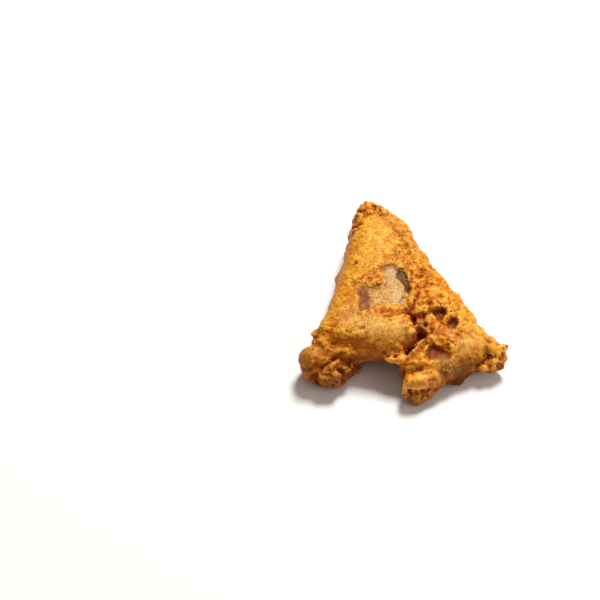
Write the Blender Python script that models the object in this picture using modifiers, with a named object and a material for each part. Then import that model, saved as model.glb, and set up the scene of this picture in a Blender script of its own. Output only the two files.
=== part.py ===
"""One battered, fried catfish nugget: a belly flap cut that cooked into a thick wedge, with a knob at its
near left corner and a craggy leg at its near right corner.

The nugget lies on its flat spots with the shown side up. +X runs to its right, +Y away from the viewer, +Z
up, and the origin is the middle of its bounding box on the surface that it lies on.

Its body is a few soft lobes run together into one skin, with lumps of crust joined to it. Folds, craters
and random lumps then push that skin in or out along its normals, and the underside is sliced level where
the nugget touches the surface.
"""

import math

import bmesh
import bpy
import numpy as np
from mathutils import Matrix, Vector

MM = 0.001

# Skin
LOBE_STEPS = (96, 48)
LUMP_STEPS = (32, 16)
CURVE_STEPS = 12
LOBE_VOXEL = 1.1 * MM
LOBE_SMOOTHING = 8
LUMP_VOXEL = 0.8 * MM
LUMP_SMOOTHING = 2
RELIEF_VOXEL = 0.8 * MM
RELIEF_SMOOTHING = 1
SKIN_TRIANGLES = 9000
CRUST_COLOUR = (0.72, 0.36, 0.08, 1.0)
CRUST_ROUGHNESS = 0.55

# Every length below is in millimetres.

# Lobes with a cut outline. "outline" is a smooth closed curve through these points as seen from above. "top"
# and "under" are the heights at the lobe's middle, each with its rise along X and along Y.
FLAP = {
    "middle": (-9.0, 2.0),
    "outline": [
        (-12.2, 44.6), (-4.8, 41.8), (3.9, 33.2), (9.5, 17.0), (11.4, 2.0), (6.4, -8.0), (4.4, -12.0),
        (3.7, -15.6), (4.9, -20.0), (3.8, -24.0), (-0.6, -26.4), (-12.0, -26.2), (-26.0, -27.8),
        (-32.6, -20.6), (-29.0, -12.0), (-25.8, -2.0), (-21.0, 18.0), (-16.4, 36.4),
    ],
    "top": (20.9, 0.02, 0.075),
    "under": (1.0, 0.0, -0.075),
    "squareness": 3.8,
}
LEG = {
    "middle": (17.0, -13.0),
    "outline": [
        (4.4, 25.0), (14.0, 10.2), (18.8, 4.0), (26.2, -6.4), (28.8, -13.0), (36.0, -18.2), (37.2, -23.4),
        (31.0, -26.8), (20.0, -30.6), (8.4, -37.8), (1.0, -35.8), (-1.2, -28.4), (3.4, -20.0), (3.8, -10.0),
        (2.2, 6.0),
    ],
    "top": (15.8, -0.09, 0.16),
    "under": (-0.3, 0.0, 0.03),
    "squareness": 3.2,
}

# Eggs that blend into those lobes: middle, half sizes, and turn about Z in degrees.
EGGS = {
    "knob": ((-28.8, -26.4, 6.0), (8.8, 7.9, 7.4), -20.0),
    "front of the knob": ((-25.0, -30.4, 3.6), (5.4, 3.8, 4.4), 10.0),
    "right lobe of the knob": ((-22.6, -28.0, 6.8), (4.6, 2.8, 2.8), -14.0),
    "web from the knob": ((-19.4, -25.0, 3.4), (5.2, 2.6, 3.6), 42.0),
    "front of the leg": ((6.8, -34.6, 4.4), (7.2, 4.4, 5.0), 32.0),
    "web between flap and leg": ((3.6, -14.5, 5.8), (6.5, 12.0, 6.0), -8.0),
    "flake under the leg": ((20.2, -30.0, 2.4), (4.0, 2.2, 1.7), 32.0),
}

# Lumps of crust, which keep the grooves between them: the same three values.
LUMPS = {
    "dome of the knob": ((-32.0, -26.3, 8.8), (5.9, 5.6, 6.1), -20.0),
    "left lump of the knob": ((-34.4, -30.8, 6.4), (2.6, 2.4, 3.2), -35.0),
    "left half of the square lump": ((-28.4, -32.6, 6.0), (3.2, 3.0, 4.4), 0.0),
    "right half of the square lump": ((-25.6, -32.8, 5.8), (3.2, 2.8, 4.4), 0.0),
    "right lump of the knob": ((-21.8, -29.2, 8.4), (2.9, 1.9, 1.8), -16.0),
    "lump of the junction": ((-31.6, -20.8, 12.6), (1.6, 1.5, 1.6), 0.0),
    "lump under the bulge": ((-4.0, -27.0, 10.8), (2.6, 1.9, 2.2), 0.0),
    "end of that lump": ((-1.2, -27.8, 11.4), (2.4, 2.2, 2.8), 20.0),
    "lump at the bulge's right end": ((3.2, -21.4, 17.2), (1.8, 2.4, 1.9), 0.0),
    "finger": ((4.6, -35.9, 8.9), (5.2, 3.6, 2.9), 22.0),
    "end of the finger": ((1.4, -36.8, 7.4), (2.1, 1.8, 2.6), 10.0),
    "second finger": ((10.8, -33.6, 9.2), (2.4, 1.7, 2.4), 38.0),
    "left lump under the finger": ((0.4, -37.8, 4.2), (2.0, 1.9, 3.0), 0.0),
    "lump under the finger": ((5.4, -38.4, 3.4), (3.4, 2.4, 3.0), 18.0),
    "right lump under the finger": ((8.6, -37.6, 3.8), (2.6, 2.2, 3.2), 35.0),
    "first lump across the leg": ((0.2, -29.0, 10.4), (1.9, 1.5, 1.9), 0.0),
    "second lump across the leg": ((3.4, -29.8, 11.6), (2.1, 1.3, 1.8), -10.0),
    "third lump across the leg": ((7.4, -30.4, 12.0), (2.2, 1.3, 1.8), 5.0),
    "first lump of the shelf": ((5.6, -13.4, 12.8), (2.6, 2.2, 3.0), 0.0),
    "second lump of the shelf": ((8.2, -15.4, 12.2), (2.4, 2.0, 2.8), 0.0),
    "nose over the craters": ((6.8, -8.4, 14.8), (3.8, 2.8, 2.9), 12.0),
    "first lump of the leg's top": ((10.6, -3.6, 15.9), (2.9, 2.2, 2.3), 10.0),
    "second lump of the leg's top": ((15.0, -3.0, 15.0), (2.7, 2.3, 2.1), -10.0),
    "upper corner lump": ((32.0, -19.4, 11.4), (2.8, 1.8, 1.9), -40.0),
    "first corner lump": ((35.4, -21.6, 10.2), (2.2, 2.0, 2.2), 0.0),
    "second corner lump": ((31.8, -22.8, 11.2), (2.0, 1.8, 1.8), 8.0),
    "third corner lump": ((36.0, -24.6, 7.0), (2.2, 2.0, 2.4), 20.0),
    "fourth corner lump": ((32.8, -26.4, 8.0), (2.2, 1.7, 2.1), 0.0),
    "fifth corner lump": ((29.6, -28.0, 6.4), (2.2, 1.5, 2.0), 20.0),
    "sixth corner lump": ((32.6, -27.0, 4.4), (2.2, 1.7, 2.2), 0.0),
    "lowest corner lump": ((35.6, -25.0, 3.6), (2.2, 1.8, 2.4), 0.0),
    "lump of the far right rim": ((1.2, 30.2, 17.6), (2.8, 3.0, 3.2), 0.0),
    "first lump of the crest": ((-15.2, 33.0, 20.4), (1.7, 1.4, 1.7), 0.0),
    "second lump of the crest": ((-13.4, 36.4, 20.6), (1.9, 1.4, 1.7), 0.0),
    "third lump of the crest": ((-8.6, 38.6, 20.0), (2.4, 1.5, 1.9), 0.0),
}

# Relief of the shown side. Each stroke follows a path as seen from above, with its half width, its height
# (below 0 for a dent), and how steep its edges are.
STROKES = {
    "crest over the far left rim": ([(-16.6, 30.0), (-14.6, 34.0), (-12.0, 38.0)], 2.2, 1.2, 2),
    "crest over the far end": ([(-12.0, 38.8), (-8.0, 38.6), (-5.8, 36.0)], 2.2, 1.4, 2),
    "hollow under the crest": ([(-18.2, 29.2), (-16.2, 28.8), (-14.4, 29.2)], 0.9, -1.1, 2),
    "crust along the far right rim": ([(-5.4, 34.6), (2.6, 24.4), (7.6, 10.0)], 2.2, 0.7, 3),
    "right rim": ([(9.4, 17.0), (18.0, 2.4), (30.0, -14.0)], 1.7, 0.5, 3),
    "bare patch": ([(-12.0, -6.0), (-5.0, -4.6), (-2.6, 2.0), (-3.6, 6.0)], 4.0, -0.6, 4),
    "slit": ([(0.0, 5.6), (0.8, 1.6), (1.9, -1.2)], 1.6, -0.5, 4),
    "stained dent": ([(-14.2, -4.6), (-14.0, -9.4)], 1.4, -0.5, 3),
    "ledge over the bare patch": ([(-16.6, 2.2), (-10.9, 1.6), (-7.6, 4.6)], 1.6, 0.6, 2),
    "near rim of the bare patch": ([(-14.6, -12.6), (-6.5, -10.7), (0.6, -9.8)], 1.4, 0.6, 3),
    "near right rim of the bare patch": ([(0.8, -9.6), (4.0, -3.2), (4.4, 0.2)], 1.0, 0.8, 2),
    "crease beside the nose": ([(2.0, -11.8), (4.6, -7.4), (6.3, -2.6)], 0.6, -1.1, 2),
    "right crease": ([(3.6, 6.2), (4.9, 4.4), (7.6, 4.6)], 0.7, -0.8, 2),
    "swelling at the near edge": ([(-11.0, -19.5), (-1.0, -19.4)], 4.8, 1.0, 2),
    "slope between the knob and the bulge": ([(-25.0, -24.4), (-19.0, -26.0), (-14.0, -27.0)], 3.6, -2.4, 2),
    "gap beside the bulge": ([(3.4, -12.0), (4.4, -14.6)], 1.1, -2.2, 4),
    "crevice": ([(6.8, -17.8), (5.4, -20.8), (1.4, -25.4)], 1.5, -4.2, 4),
    "slope into the crevice": ([(9.6, -18.4), (7.6, -22.4), (4.2, -26.4)], 2.2, -1.0, 2),
    "ridge of the shelf": ([(13.0, -15.2), (10.6, -18.6), (9.2, -21.6)], 0.9, 0.7, 2),
    "first crater": ([(12.2, -9.6), (14.6, -9.2), (13.9, -11.2)], 1.5, -1.7, 5),
    "second crater": ([(18.5, -13.0), (17.8, -15.2)], 1.9, -1.1, 5),
    "third crater": ([(10.6, -25.8), (14.2, -26.4)], 2.4, -1.5, 5),
    "lip of the third crater": ([(9.6, -21.0), (15.6, -21.8), (17.8, -24.6)], 1.0, 0.9, 2),
    "pinhole": ([(8.3, -14.4), (8.5, -14.6)], 0.8, -1.6, 3),
    "smooth swelling by the right corner": ([(22.0, -23.0), (26.6, -22.6)], 3.8, 0.6, 2),
}

# How craggy the crust is, from 0 to 1: on the sides and between the named places, and then at each named
# place of the shown side, as a path with its half width and cragginess. CRAG_EDGE is how steeply that ends.
CRAG_BETWEEN = 0.42
CRAG_EDGE = 4
CRAGS = {
    "far plateau": ([(-9.0, 30.0), (-12.0, 10.0)], 8.0, 0.06),
    "left slope": ([(-22.0, 12.0), (-22.0, -12.0)], 6.0, 0.10),
    "near swelling": ([(-20.0, -8.0), (-14.0, -16.0), (-4.0, -20.0)], 6.5, 0.10),
    "near slope": ([(-25.0, -24.4), (-10.0, -27.0)], 4.6, 0.08),
    "bare patch": ([(-3.0, 6.0), (-2.0, -4.0), (-10.0, -5.6)], 4.4, 0.04),
    "swelling by the right corner": ([(22.6, -23.4), (27.0, -22.4)], 4.0, 0.06),
    "front of the leg": ([(13.0, -30.4), (21.0, -28.8)], 3.0, 0.12),
    "knob": ([(-34.0, -27.0), (-27.0, -31.0), (-21.0, -29.4)], 5.0, 0.70),
    "crest": ([(-18.0, 28.0), (-14.8, 34.4), (-9.0, 38.0)], 2.6, 0.60),
}

# Random relief: the size of its cells, its height and its seed. "middle" is taken off the lumps' height.
CRUST_LUMPS = {"size": 5.0, "height": 2.4, "middle": 0.9, "seed": 11}
SIDE_LUMPS = {"size": 9.0, "height": 2.6, "middle": 1.0, "seed": 61}
SHOWN_DRIFT = {"size": 9.0, "height": 0.35, "seed": 31}
SIDE_DRIFT = {"size": 6.0, "height": 0.8, "seed": 63}

# The sides that carry the larger lumps: where the normal's Z falls through the first span, and away from the
# near edge, where Y rises through the second.
SIDE_FACING = (0.5, -0.1)
SIDE_FROM_Y = (-26.0, -12.0)


def tilted(height, middle, x, y):
    """Height of a tilted plane at (x, y): its height at the middle plus its rise along X and along Y."""
    return height[0] + height[1] * (x - middle[0]) + height[2] * (y - middle[1])


def closed_curve(points):
    """A smooth closed curve through the points: a Catmull-Rom spline, as rows of (x, y)."""
    before, start, end, after = (np.roll(np.array(points), shift, axis=0) for shift in (1, 0, -1, -2))
    t = np.linspace(0.0, 1.0, CURVE_STEPS, endpoint=False)[:, None, None]
    curve = start + (end - before) * t / 2
    curve = curve + (before - 2.5 * start + 2 * end - after / 2) * t**2
    curve = curve + (1.5 * (start - end) + (after - before) / 2) * t**3
    return curve.reshape(-1, 2)


def add_cut_lobe(skin, lobe):
    """Adds a pillow over a cut outline to the skin: a sphere whose girdle is stretched to the outline and
    whose halves reach the lobe's top and underside, squared off as a superellipse is."""
    middle = lobe["middle"]
    away = closed_curve(lobe["outline"]) - middle
    bearings = np.arctan2(away[:, 1], away[:, 0])
    radii = np.hypot(away[:, 0], away[:, 1])
    power = 2.0 / lobe["squareness"]
    ball = bmesh.ops.create_uvsphere(skin, u_segments=LOBE_STEPS[0], v_segments=LOBE_STEPS[1], radius=1.0)
    for vertex in ball["verts"]:
        bearing = math.atan2(vertex.co.y, vertex.co.x)
        reach = np.interp(bearing, bearings, radii, period=math.tau)
        reach *= math.hypot(vertex.co.x, vertex.co.y) ** power
        x = middle[0] + reach * math.cos(bearing)
        y = middle[1] + reach * math.sin(bearing)
        top = tilted(lobe["top"], middle, x, y)
        under = tilted(lobe["under"], middle, x, y)
        lift = math.copysign(abs(vertex.co.z) ** power, vertex.co.z)
        vertex.co = Vector((x, y, (top + under) / 2 + lift * (top - under) / 2)) * MM


def add_egg(skin, middle, half, turn, steps):
    """Adds an egg to the skin: a sphere scaled to its half sizes, turned about Z and set in its place."""
    turned = Matrix.Rotation(math.radians(turn), 3, "Z")
    place = Matrix.LocRotScale(Vector(middle) * MM, turned, Vector(half) * MM)
    bmesh.ops.create_uvsphere(skin, u_segments=steps[0], v_segments=steps[1], radius=1.0, matrix=place)


def chance(cells, seed):
    """A repeatable random number from 0 to 1 for each whole-numbered cell of a lattice."""
    mixed = cells[:, 0] * 73856093 ^ cells[:, 1] * 19349663 ^ cells[:, 2] * 83492791 ^ seed * 9176501
    mixed = (mixed ^ (mixed >> 13)) * 1274126177 & 0xFFFFFFFF
    mixed = (mixed ^ (mixed >> 16)) * 668265263 & 0xFFFFFFFF
    return (mixed ^ (mixed >> 15)) / 0xFFFFFFFF


def smooth_step(low, high, values):
    """0 below low, 1 above high, and 3t^2 - 2t^3 between."""
    t = np.clip((values - low) / (high - low), 0.0, 1.0)
    return t * t * (3.0 - 2.0 * t)


def drift(points, size, seed):
    """Smooth random field from -1 to 1: the values of a lattice's corners, blended by 3t^2 - 2t^3 along each
    axis."""
    home = np.floor(points / size).astype(np.int64)
    t = points / size - home
    t = t * t * (3.0 - 2.0 * t)
    field = np.zeros(len(points))
    for corner in np.ndindex(2, 2, 2):
        weight = np.prod(np.where(corner, t, 1.0 - t), axis=1)
        field += weight * chance(home + np.array(corner), seed)
    return 2.0 * field - 1.0


def crumbled(points, size, seed):
    """Height of a heap of uneven lumps, as a share of the cell's size. Each lattice cell holds one lump of
    random place and radius, as tall as radius * (1 - (distance / radius)^2). Neighbours run together as the
    fourth root of the sum of their fourth powers, and the points are moved about by up to a third of a cell
    first."""
    moved = np.stack([drift(points, size, seed + 7 + axis) for axis in range(3)], axis=1)
    points = points + size / 3 * moved
    home = np.floor(points / size).astype(np.int64)
    total = np.zeros(len(points))
    for step in np.ndindex(3, 3, 3):
        cells = home + np.array(step) - 1
        offset = np.stack([chance(cells, seed + axis) for axis in range(3)], axis=1)
        radius = size * (0.3 + 0.6 * chance(cells, seed + 3))
        apart = np.sum((points - (cells + offset) * size) ** 2, axis=1)
        total += (radius * np.maximum(1.0 - apart / radius**2, 0.0)) ** 4
    return total**0.25 / size


def stroke_height(plan, path, half_width, height, steepness):
    """Height of one stroke: full along the path, and falling off with the distance to it."""
    corners = np.array(path)
    nearest = np.full(len(plan), np.inf)
    for a, b in zip(corners[:-1], corners[1:]):
        along = np.clip((plan - a) @ (b - a) / np.sum((b - a) ** 2), 0.0, 1.0)
        nearest = np.minimum(nearest, np.linalg.norm(plan - a - along[:, None] * (b - a), axis=1))
    return height * np.exp(-((nearest / half_width) ** steepness))


def raised_lumps(points, lumps):
    """Relief of one kind of random lump."""
    return lumps["height"] * crumbled(points, lumps["size"], lumps["seed"]) - lumps["middle"]


def raised_drift(points, waves):
    """Relief of one kind of smooth random swelling."""
    return waves["height"] * drift(points, waves["size"], waves["seed"])


def relief(points, normals):
    """How far the skin stands out: strokes on the side that faces up, crust lumps where it is craggy, and
    larger lumps on the sides."""
    plan = points[:, :2]
    facing_up = np.clip(normals[:, 2] * 2.0 + 0.4, 0.0, 1.0)
    strokes = facing_up * sum(stroke_height(plan, *stroke) for stroke in STROKES.values())
    craggy = np.full(len(points), CRAG_BETWEEN)
    for path, half_width, value in CRAGS.values():
        near = facing_up * stroke_height(plan, path, half_width, 1.0, CRAG_EDGE)
        craggy = craggy * (1.0 - near) + value * near
    sides = smooth_step(*SIDE_FACING, normals[:, 2]) * smooth_step(*SIDE_FROM_Y, points[:, 1])
    lumps = craggy * raised_lumps(points, CRUST_LUMPS) + raised_drift(points, SHOWN_DRIFT)
    return strokes + lumps + sides * (raised_lumps(points, SIDE_LUMPS) + raised_drift(points, SIDE_DRIFT))


def new_object(name, mesh):
    """A new object for a mesh, linked to the scene."""
    obj = bpy.data.objects.new(name, mesh)
    bpy.context.scene.collection.objects.link(obj)
    return obj


def applied(obj):
    """The object's mesh with its modifiers applied. The object itself is removed."""
    mesh = bpy.data.meshes.new_from_object(obj.evaluated_get(bpy.context.evaluated_depsgraph_get()))
    bpy.data.objects.remove(obj)
    return mesh


def one_skin(name, mesh, voxel, smoothing):
    """The mesh wrapped in one even skin of the given voxel size, then smoothed."""
    obj = new_object(name, mesh)
    remesh = obj.modifiers.new("one skin", "REMESH")
    remesh.mode = "VOXEL"
    remesh.voxel_size = voxel
    smooth = obj.modifiers.new("soft folds", "SMOOTH")
    smooth.iterations = smoothing
    return applied(obj)


def thinned(mesh, triangles):
    """The mesh with about the given number of triangles."""
    mesh.calc_loop_triangles()
    obj = new_object("budget", mesh)
    obj.modifiers.new("triangle budget", "DECIMATE").ratio = triangles / len(mesh.loop_triangles)
    return applied(obj)


def joined_lobes():
    """The lobes and the eggs on them run together into one smooth closed skin."""
    skin = bmesh.new()
    for lobe in (FLAP, LEG):
        add_cut_lobe(skin, lobe)
    for middle, half, turn in EGGS.values():
        add_egg(skin, middle, half, turn, LOBE_STEPS)
    mesh = bpy.data.meshes.new("lobes")
    skin.to_mesh(mesh)
    skin.free()
    return one_skin("lobes", mesh, LOBE_VOXEL, LOBE_SMOOTHING)


def with_lumps(mesh):
    """The skin with the lumps of crust joined to it."""
    skin = bmesh.new()
    skin.from_mesh(mesh)
    for middle, half, turn in LUMPS.values():
        add_egg(skin, middle, half, turn, LUMP_STEPS)
    skin.to_mesh(mesh)
    skin.free()
    return one_skin("lumps", mesh, LUMP_VOXEL, LUMP_SMOOTHING)


def vertex_values(source, name):
    """One vector for each vertex, as rows of three numbers."""
    values = np.empty(len(source) * 3)
    source.foreach_get(name, values)
    return values.reshape(-1, 3)


def raised(mesh):
    """Moves the skin's vertices along their normals by the relief, and wraps the result in an even skin."""
    points = vertex_values(mesh.vertices, "co") / MM
    normals = vertex_values(mesh.vertex_normals, "vector")
    points += normals * relief(points, normals)[:, None]
    mesh.vertices.foreach_set("co", (points * MM).ravel())
    return one_skin("relief", mesh, RELIEF_VOXEL, RELIEF_SMOOTHING)


def sliced_level(mesh):
    """Slices off what lies below the resting surface, closes each cut with a flat face and keeps the outer
    skin alone."""
    shape = bmesh.new()
    shape.from_mesh(mesh)
    everything = shape.verts[:] + shape.edges[:] + shape.faces[:]
    surface = {"plane_co": (0, 0, 0), "plane_no": (0, 0, -1)}
    cut = bmesh.ops.bisect_plane(shape, geom=everything, clear_outer=True, **surface)
    rims = [item for item in cut["geom_cut"] if isinstance(item, bmesh.types.BMEdge)]
    bmesh.ops.holes_fill(shape, edges=rims)
    drop_inner_skins(shape)
    bmesh.ops.triangulate(shape, faces=shape.faces[:])
    shape.to_mesh(mesh)
    shape.free()
    return mesh


def centred(mesh):
    """Moves the mesh so that the middle of its bounding box is over the origin."""
    points = vertex_values(mesh.vertices, "co")
    middle = (points.min(axis=0) + points.max(axis=0)) / 2
    mesh.transform(Matrix.Translation((-middle[0], -middle[1], 0.0)))
    return mesh


def drop_inner_skins(shape):
    """Deletes every skin but the one with the most vertices."""
    left = set(shape.verts)
    skins = []
    while left:
        skin = set()
        edge = [left.pop()]
        while edge:
            vertex = edge.pop()
            skin.add(vertex)
            near = {link.other_vert(vertex) for link in vertex.link_edges} & left
            left -= near
            edge.extend(near)
        skins.append(skin)
    skins.sort(key=len)
    inner = [vertex for skin in skins[:-1] for vertex in skin]
    bmesh.ops.delete(shape, geom=inner, context="VERTS")


def crust_material():
    """Golden fried crust."""
    material = bpy.data.materials.new("crust")
    material.use_nodes = True
    shader = material.node_tree.nodes["Principled BSDF"]
    shader.inputs["Base Color"].default_value = CRUST_COLOUR
    shader.inputs["Roughness"].default_value = CRUST_ROUGHNESS
    shader.inputs["Metallic"].default_value = 0.0
    return material


def main():
    for old in list(bpy.data.objects):
        bpy.data.objects.remove(old)
    group = bpy.data.collections.new("catfish nugget")
    bpy.context.scene.collection.children.link(group)
    skin = thinned(raised(with_lumps(joined_lobes())), SKIN_TRIANGLES)
    nugget = bpy.data.objects.new("nugget", centred(sliced_level(skin)))
    group.objects.link(nugget)
    nugget.data.materials.clear()
    nugget.data.materials.append(crust_material())
    nugget.data.shade_smooth()


main()
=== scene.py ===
"""The looks of one battered, fried catfish nugget: its crust with folds, craters and a bare patch, and the
crumbs, pepper, herb flecks and meal grains on it.

Laid out as a Blender add-on and run as a script. The crust is a few lobe surfaces run together into one skin,
which folds, hollows, lumps and bubbles then push in or out. Masks worked out from its shape and from named
places drive the material.
"""

import math

import bmesh
import bpy
import numpy as np
from bpy.props import FloatProperty, FloatVectorProperty, IntProperty, PointerProperty
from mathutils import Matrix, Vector


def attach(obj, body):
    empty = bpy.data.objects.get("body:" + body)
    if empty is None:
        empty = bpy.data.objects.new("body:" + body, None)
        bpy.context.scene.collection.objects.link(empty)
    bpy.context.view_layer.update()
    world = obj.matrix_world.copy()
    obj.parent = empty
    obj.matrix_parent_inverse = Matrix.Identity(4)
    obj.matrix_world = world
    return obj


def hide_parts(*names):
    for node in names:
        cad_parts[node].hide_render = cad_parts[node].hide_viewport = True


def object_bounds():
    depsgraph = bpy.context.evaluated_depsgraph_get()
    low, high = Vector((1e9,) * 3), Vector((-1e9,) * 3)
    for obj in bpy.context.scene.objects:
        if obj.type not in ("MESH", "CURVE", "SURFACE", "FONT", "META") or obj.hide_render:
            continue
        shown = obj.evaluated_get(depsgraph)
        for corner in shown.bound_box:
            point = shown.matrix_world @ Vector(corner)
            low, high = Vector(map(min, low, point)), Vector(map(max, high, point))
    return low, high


bl_info = {
    "name": "Catfish Nugget",
    "version": (1, 0, 0),
    "blender": (4, 5, 0),
    "location": "View3D > Sidebar > Nugget",
    "description": "Models a battered, fried catfish nugget with crumbs, pepper, herbs and meal grains",
    "category": "Object",
}

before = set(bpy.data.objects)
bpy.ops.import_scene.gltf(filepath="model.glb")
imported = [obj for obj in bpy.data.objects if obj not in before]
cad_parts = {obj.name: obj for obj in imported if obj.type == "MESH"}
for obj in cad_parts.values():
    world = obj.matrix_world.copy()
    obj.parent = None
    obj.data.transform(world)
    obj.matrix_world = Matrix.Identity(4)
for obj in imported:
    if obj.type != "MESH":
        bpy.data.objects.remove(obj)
FRAME_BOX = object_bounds()

MM = 0.001
CRUST = "nugget_crust"

# --------------------------------------------------------------------------------------------------
# Shape: the lobes of the CAD solid, in millimetres. A cut lobe is a pillow over a smooth closed outline, with
# its top and underside as tilted planes (height at the middle, rise along X, rise along Y).

FLAP = {
    "middle": (-9.0, 2.0),
    "outline": [
        (-12.2, 44.6), (-4.8, 41.8), (3.9, 33.2), (9.5, 17.0), (11.4, 2.0), (6.4, -8.0), (4.4, -12.0),
        (3.7, -15.6), (4.9, -20.0), (3.8, -24.0), (-0.6, -26.4), (-12.0, -26.2), (-26.0, -27.8),
        (-32.6, -20.6), (-29.0, -12.0), (-25.8, -2.0), (-21.0, 18.0), (-16.4, 36.4),
    ],
    "top": (20.9, 0.02, 0.075),
    "under": (1.0, 0.0, -0.075),
    "squareness": 3.8,
}
LEG = {
    "middle": (17.0, -13.0),
    "outline": [
        (4.4, 25.0), (14.0, 10.2), (18.8, 4.0), (26.2, -6.4), (28.8, -13.0), (36.0, -18.2), (37.2, -23.4),
        (31.0, -26.8), (20.0, -30.6), (8.4, -37.8), (1.0, -35.8), (-1.2, -28.4), (3.4, -20.0), (3.8, -10.0),
        (2.2, 6.0),
    ],
    "top": (15.8, -0.09, 0.16),
    "under": (-0.3, 0.0, 0.03),
    "squareness": 3.2,
}

# Eggs: middle, half sizes and turn about Z in degrees. The large ones blend into the lobes.
EGGS = [
    ((-28.8, -26.4, 6.0), (8.8, 7.9, 7.4), -20.0),
    ((-25.0, -30.4, 3.6), (5.4, 3.8, 4.4), 10.0),
    ((-22.6, -28.0, 6.8), (4.6, 2.8, 2.8), -14.0),
    ((-19.2, -25.4, 3.2), (5.6, 3.2, 3.6), 42.0),
    ((6.8, -34.6, 4.4), (7.2, 4.4, 5.0), 32.0),
    ((3.6, -14.5, 5.8), (6.5, 12.0, 6.0), -8.0),
    ((20.2, -30.0, 2.4), (4.0, 2.2, 1.7), 32.0),
]

# The lumps of crust keep their grooves.
LUMPS = {
    "dome of the knob": ((-32.0, -26.3, 8.8), (5.9, 5.6, 6.1), -20.0),
    "left lump of the knob": ((-34.4, -30.8, 6.4), (2.6, 2.4, 3.2), -35.0),
    "left half of the square lump": ((-28.4, -32.6, 6.0), (3.2, 3.0, 4.4), 0.0),
    "right half of the square lump": ((-25.6, -32.8, 5.8), (3.2, 2.8, 4.4), 0.0),
    "right lump of the knob": ((-21.8, -29.2, 8.4), (2.9, 1.9, 1.8), -16.0),
    "first lump of the junction": ((-31.6, -20.8, 12.6), (1.6, 1.5, 1.6), 0.0),
    "second lump of the junction": ((-31.4, -18.0, 14.2), (1.4, 1.5, 1.4), 0.0),
    "third lump of the junction": ((-30.2, -21.8, 14.4), (1.6, 1.4, 1.5), 0.0),
    "fourth lump of the junction": ((-28.4, -20.0, 15.6), (1.4, 1.3, 1.3), 0.0),
    "lump under the bulge": ((-4.4, -27.2, 11.4), (3.0, 2.2, 2.6), 0.0),
    "end of that lump": ((-1.3, -27.9, 11.6), (2.6, 2.3, 2.8), 20.0),
    "lump at the bulge's right end": ((3.2, -21.4, 17.2), (1.8, 2.4, 1.9), 0.0),
    "finger": ((4.6, -35.9, 8.9), (5.2, 3.6, 2.9), 22.0),
    "end of the finger": ((1.4, -36.8, 7.4), (2.1, 1.8, 2.6), 10.0),
    "second finger": ((10.8, -33.6, 9.2), (2.4, 1.7, 2.4), 38.0),
    "left lump under the finger": ((0.4, -37.8, 4.2), (2.0, 1.9, 3.0), 0.0),
    "lump under the finger": ((5.8, -38.8, 3.2), (3.4, 2.6, 3.0), 18.0),
    "right lump under the finger": ((8.6, -37.6, 3.8), (2.6, 2.2, 3.2), 35.0),
    "first lump across the leg": ((0.2, -29.0, 10.4), (1.9, 1.5, 1.9), 0.0),
    "second lump across the leg": ((3.4, -29.8, 11.6), (2.1, 1.3, 1.8), -10.0),
    "third lump across the leg": ((7.4, -30.4, 12.0), (2.2, 1.3, 1.8), 5.0),
    "first lump of the shelf": ((5.6, -13.4, 12.8), (2.6, 2.2, 3.0), 0.0),
    "lump beside the bulge": ((4.4, -16.0, 13.0), (1.7, 2.2, 2.6), 0.0),
    "second lump of the shelf": ((8.2, -15.4, 12.2), (2.4, 2.0, 2.8), 0.0),
    "nose over the craters": ((6.8, -8.4, 14.8), (3.8, 2.8, 2.9), 12.0),
    "first lump of the leg's top": ((10.6, -3.6, 15.9), (2.9, 2.2, 2.3), 10.0),
    "second lump of the leg's top": ((15.0, -3.0, 15.0), (2.7, 2.3, 2.1), -10.0),
    "upper corner lump": ((32.0, -19.4, 11.4), (2.8, 1.8, 1.9), -40.0),
    "first corner lump": ((35.7, -22.3, 9.9), (2.3, 2.1, 2.3), 0.0),
    "second corner lump": ((31.8, -22.8, 11.2), (2.0, 1.8, 1.8), 8.0),
    "third corner lump": ((36.6, -24.2, 7.2), (2.4, 2.1, 2.5), 20.0),
    "fourth corner lump": ((32.8, -26.4, 8.0), (2.2, 1.7, 2.1), 0.0),
    "fifth corner lump": ((29.6, -28.0, 6.4), (2.2, 1.5, 2.0), 20.0),
    "middle corner lump": ((34.0, -24.2, 9.8), (1.9, 1.7, 1.8), 0.0),
    "sixth corner lump": ((32.6, -27.0, 4.4), (2.2, 1.7, 2.2), 0.0),
    "lowest corner lump": ((35.6, -25.0, 3.6), (2.2, 1.8, 2.4), 0.0),
    "lump of the far right rim": ((1.2, 30.2, 17.6), (2.8, 3.0, 3.2), 0.0),
    "first lump of the crest": ((-15.2, 33.0, 20.4), (1.7, 1.4, 1.7), 0.0),
    "second lump of the crest": ((-13.9, 37.2, 20.2), (2.1, 1.7, 1.8), 0.0),
    "third lump of the crest": ((-9.4, 38.6, 19.4), (2.8, 1.6, 1.9), 0.0),
    "fourth lump of the crest": ((-5.4, 34.4, 20.6), (1.7, 1.4, 1.5), 0.0),
}

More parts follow.
